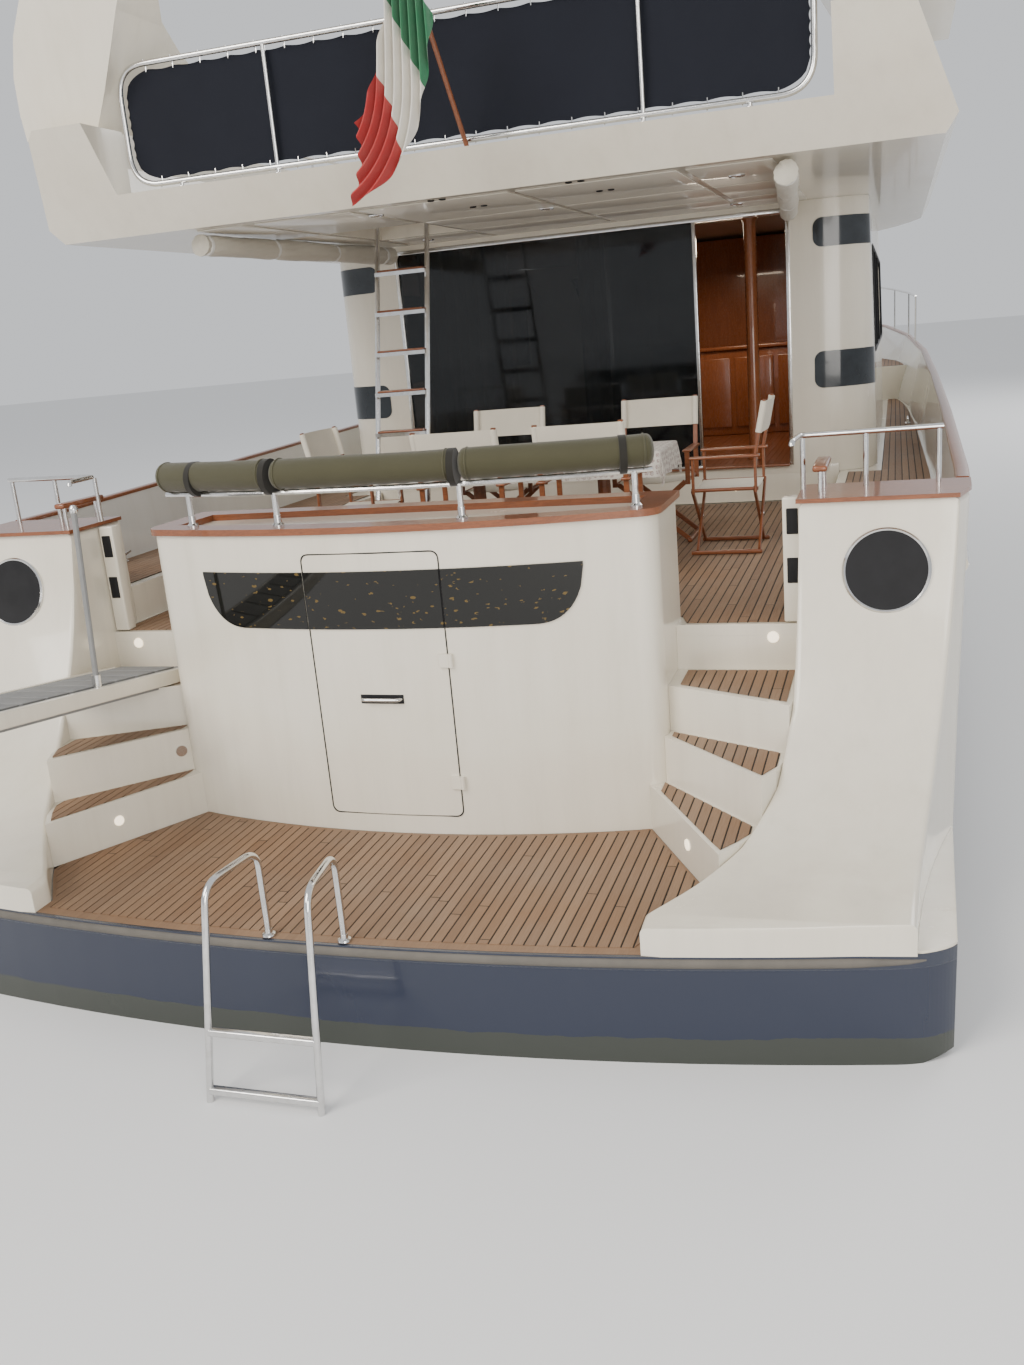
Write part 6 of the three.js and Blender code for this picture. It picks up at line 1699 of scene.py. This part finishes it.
put("chart_screen", rounded_block((0.66, 0.13, 4.802), (1.02, 0.24, 4.872), 0.012), black_rubber)
boss = [(0.0, -0.008), (0.03, -0.008), (0.036, 0.0), (0.03, 0.012), (0.0, 0.016)]
put("helm_wheel_boss", turned(boss, (0.9, -0.02, 4.5) + 0.2195 * tilt_normal, tilt_normal, 28), black_rubber,
    body="helm_wheel")
print("helm fitted")

# %% Lamps and aerials on the arch, and handrails
mast_lamp = [(0.0, 0), (0.05, 0), (0.05, 0.02), (0.036, 0.03), (0.036, 0.09), (0.045, 0.10), (0.0, 0.115)]
aerial = [(0.0, 0), (0.03, 0), (0.012, 0.05), (0.006, 0.20), (0.003, 0.50), (0.0, 0.50)]
dome = [(0.0, 0), (0.15, 0), (0.17, 0.04), (0.165, 0.14), (0.12, 0.22), (0.05, 0.255), (0.0, 0.26)]
put("arch_fittings", [turned(mast_lamp, (0, -8.05, 5.7002)), turned(aerial, (1.25, -8.2, 5.66)),
                      turned(aerial, (-1.25, -8.2, 5.66))], white_plastic)
put("arch_dome", turned(dome, (0.72, -8.2, 5.695)), white_plastic, crease=60)
RAIL_X, RAIL_START, RAIL_LONG = 2.40, -6.1, 5.3
rail_y = np.linspace(RAIL_START, RAIL_START + RAIL_LONG, 24)
rail_z = 4.56 + 0.10 * np.sin(np.clip((rail_y - RAIL_START) / RAIL_LONG, 0, 1) * np.pi) ** 0.5
side_rail = [tube(grid_of(RAIL_X, rail_y, rail_z), 0.014, 10)]
side_rail += [tube([(RAIL_X, y, 4.4505), (RAIL_X, y, np.interp(y, rail_y, rail_z))], 0.011, 10, (1, 0, 0))
              for y in (-6.09, -4.78, -3.45, -2.13, -0.81)]
on_both_sides("fly_side_rail", side_rail, stainless)
print("flybridge finished")

# %% [markdown]
# ## Along the hull
# A varnished rail caps the bulwark from the quarters to the stem, and a rubbing strake protects the widest
# part of the side below it. Both follow the sheer, so both are profiles carried along a path, and the path is
# read off between the hull's stations.

# %% Cap rail and rubbing strake
sheer_run = np.concatenate([np.linspace(-8.88, 9.5, 150), np.linspace(9.52, 10.93, 30)])
sheer_half, sheer_top = np.interp(sheer_run, stations, sheer_x), np.interp(sheer_run, stations, sheer_z)
cap_profile = [(-0.036, 0.0), (-0.036, 0.014), (-0.028, 0.024), (0.028, 0.024), (0.036, 0.014), (0.036, 0.0)]
cap_path = np.stack([np.maximum(sheer_half - 0.03, 0.045), sheer_run, sheer_top + 0.0012], 1)
on_both_sides("bulwark_cap", carried(cap_path, cap_profile, (0, 0, 1)), mahogany, crease=60)

strake_z = sheer_top - 0.42
strake_path = np.stack([hull_half(sheer_run, strake_z), sheer_run, strake_z], 1)[:-8]
strake_profile = [(-0.01, -0.035), (0.012, -0.030), (0.022, -0.012), (0.022, 0.012), (0.012, 0.030),
                  (-0.01, 0.035)]
on_both_sides("rubbing_strake", carried(strake_path, strake_profile, (0, 0, 1)), cream, crease=60)
bead_path = strake_path + (0.0225, 0, 0)
on_both_sides("strake_bead", carried(bead_path, ring(0.008, 8), (0, 0, 1)), stainless, crease=60)
print("cap rail, strake and bead are", len(sheer_run), "sections long")

# %% [markdown]
# Portholes lie on a side that leans and curves, so each is turned to the hull's own slope at its centre. The
# slope comes from the hull's half breadth a hand's width above, below, ahead and astern. The rim is an oval
# ring and the glass a shallow oval dome inside it.

# %% Portholes
def hull_normal(y, z):
    """The direction straight out of the hull's side at a place."""
    slope_y = (hull_half(y + 0.1, z) - hull_half(y - 0.1, z)) / 0.2
    slope_z = (hull_half(y, z + 0.1) - hull_half(y, z - 0.1)) / 0.2
    normal = np.array([1.0, -float(slope_y), -float(slope_z)])
    return normal / np.linalg.norm(normal)


def oval(y, z, half_long, half_high, profile):
    """A profile of (in from the edge, out from the hull) pairs carried round an oval on the hull's side."""
    normal = hull_normal(y, z)
    ahead = np.cross((0, 0, 1), normal)
    ahead /= np.linalg.norm(ahead)
    up = np.cross(normal, ahead)
    turn = circle(44)
    centre = np.array([float(hull_half(y, z)), y, z])
    rows = []
    for inward, outward in profile:
        a, b = half_long - inward, half_high - inward
        rows.append(centre + (np.cos(turn) * a)[:, None] * ahead + (np.sin(turn) * b)[:, None] * up + outward
                    * normal)
    return round_shell(np.array(rows))


port_places = [(y, 1.42) for y in (-4.6, -3.0, -1.4)] + [(1.9, 1.50), (3.5, 1.60), (5.1, 1.75)]
rim = [(0.0, -0.01), (0.0, 0.006), (0.008, 0.012), (0.022, 0.012), (0.026, 0.006), (0.026, -0.01)]
pane = [(0.024, -0.01), (0.024, 0.005), (0.06, 0.008), (0.10, 0.009)]
on_both_sides("porthole_rims", [oval(y, z, 0.24, 0.115, rim) for y, z in port_places], stainless, crease=40)
on_both_sides("porthole_glass", [oval(y, z, 0.24, 0.115, pane) for y, z in port_places], tinted_glass,
              crease=60)
VENT_Y, VENT_Z = -6.9, 1.62
vents = [oval(VENT_Y, VENT_Z, 0.33, 0.10, [(0.0, -0.01), (0.0, 0.008), (0.01, 0.014), (0.02, 0.008),
                                           (0.02, -0.01)])]
for d in (-0.055, -0.018, 0.018, 0.055):
    side = float(hull_half(VENT_Y, VENT_Z + d))
    vents.append(rounded_block((side - 0.01, -7.19, 1.612 + d), (side + 0.010, -6.61, 1.628 + d), 0.004))
on_both_sides("engine_vent", vents, stainless, crease=40)
print(len(port_places), "portholes a side")

# %% Frames round the side windows and the windscreen, with their mullions and wipers
def bar(half_wide, half_deep):
    """The four corners of a flat bar's section."""
    return [(-half_wide, -half_deep), (half_wide, -half_deep), (half_wide, half_deep),
            (-half_wide, half_deep)]


def house_side(y, z, proud=0.0):
    """A point on the cabin's side, which leans in as it rises."""
    return grid_of(HOUSE_X - HOUSE_LEAN * (z - SIDE_DECK_Z) + proud, y, z)


low_y, high_y, low_z, high_z = -3.91, 1.16, 2.61, 3.49
window_corners = [(-1.0, low_z), (high_y, low_z), (high_y, high_z), (low_y, high_z), (low_y, low_z),
                  (-1.001, low_z)]
frame_line = bend([(0, y, z) for y, z in window_corners], 0.10)
frames = [tube(house_side(frame_line[:, 1], frame_line[:, 2]), 0.014, 8, (1, 0, 0))]
frames += [carried(house_side(y, np.linspace(2.62, 3.48, 6), -0.004), bar(0.012, 0.02), (0, 1, 0))
           for y in (-2.35, -0.75)]
on_both_sides("side_window_frame", frames, black_rubber, crease=50)
SCREEN_FOOT_Y, SCREEN_FOOT_Z, SCREEN_RAKE, SCREEN_OUT = 2.9, 2.45, 1.7 / 1.38, (0, 0.78, 0.63)


def screen_point(x, z, proud=0.0):
    """A point on the raked windscreen, which leans aft as it rises."""
    _, ahead, up = SCREEN_OUT
    y = SCREEN_FOOT_Y - np.maximum(z - SCREEN_FOOT_Z, 0) * SCREEN_RAKE
    return grid_of(x, y + ahead * proud, z + up * proud)


put("windscreen_posts",
    [carried(screen_point(x, np.linspace(2.58, 3.64, 8), 0.004), bar(0.03, 0.012), (1, 0, 0))
                         for x in (-0.56, 0.56)], cream)
wipers, pivot = [], [(0.0, 0), (0.028, 0), (0.024, 0.03), (0.0, 0.035)]
for x in (-1.1, 0.0, 1.1):
    wipers += [tube(screen_point(np.linspace(x - 0.22, x, 6), np.linspace(3.05, 2.53, 6), 0.035), 0.007, 8),
               tube(screen_point(x - 0.22, np.linspace(2.80, 3.30, 5), 0.022), 0.009, 6, (1, 0, 0)),
               turned(pivot, screen_point(x, 2.52, 0.002), SCREEN_OUT, 20)]
put("windscreen_wipers", wipers, black_rubber)
print("windows framed")

# %% [markdown]
# Eight cleats stand on the decks to take the mooring lines. Each is a horned bar on two short feet, worked
# out once and moved. The horns are the same tube with its radius tapering to the tips.

# %% Cleats, hatch handle, and hull fittings at the bow
def cleat(x, y, z, degrees=0):
    """A horned cleat, 260 mm long."""
    line = np.linspace(-0.13, 0.13, 27)
    lift = 0.052 + 0.012 * (line / 0.13) ** 2
    horn = tube(np.stack([0 * line, line, lift], 1), 0.014, 12, (1, 0, 0),
                grow=1 - 0.45 * (np.abs(line) / 0.13) ** 2)
    foot = [(0.0, 0), (0.030, 0), (0.030, 0.006), (0.015, 0.018), (0.013, 0.055), (0.0, 0.055)]
    feet = [turned(foot, (0, s * 0.045, 0), sides=16) for s in (-1, 1)]
    return set_down(together([horn, *feet]), x, y, degrees, z)


cleats = [cleat(float(hull_half(y, z)) - WALL - room, y, z + 0.0053, degrees) for y, z, room, degrees in
          ((-8.1, SIDE_DECK_Z, 0.10, 0), (-1.0, SIDE_DECK_Z, 0.10, 0), (7.3, FOREDECK_Z, 0.16, 17),
           (8.9, FOREDECK_Z, 0.12, 25))]
on_both_sides("cleats", cleats, stainless)
pull = tube(bend([(-0.10, 6.12, 2.5105), (-0.10, 6.12, 2.545), (0.10, 6.12, 2.545), (0.10, 6.12, 2.5105)],
                 0.02), 0.008, 10, (0, 1, 0))
put("hatch_pull", pull, stainless, body="foredeck_hatch")
chain = []
for number, y in enumerate(np.arange(8.52, 8.70, 0.036)):
    loop_turn = circle(14)
    a, b = 0.013 * np.cos(loop_turn), 0.026 * np.sin(loop_turn)
    flat = number % 2 == 0
    link = np.stack([a if flat else 0 * a, y + b, 2.232 + (0 * a if flat else a)], 1)
    chain.append(tube(link, 0.0045, 6, (0, 0, 1) if flat else (1, 0, 0), loop=True))
put("anchor_chain", chain, stainless)
roller = [(0.0, -0.07), (0.05, -0.07), (0.032, -0.02), (0.032, 0.02), (0.05, 0.07), (0.0, 0.07)]
put("bow_roller", [turned(roller, (0, 10.02, 2.222), (1, 0, 0), 24)] + [
    rounded_block((x - 0.008, 9.88, 2.151), (x + 0.008, 10.12, 2.29), 0.006) for x in (-0.088, 0.088)],
    stainless)
for name, x_from, x_to, tone in (("navigation_lamp_starboard", 2.3, 2.35, (0.01, 0.30, 0.10)),
                                 ("navigation_lamp_port", -2.35, -2.3, (0.45, 0.01, 0.01))):
    put(name, rounded_block((x_from, 0.2, 4.4525), (x_to, 0.32, 4.53), 0.012),
        moulded(name, tone, darker(tone, 0.8)), slot="moulded_plastic")
print("deck fittings are on")
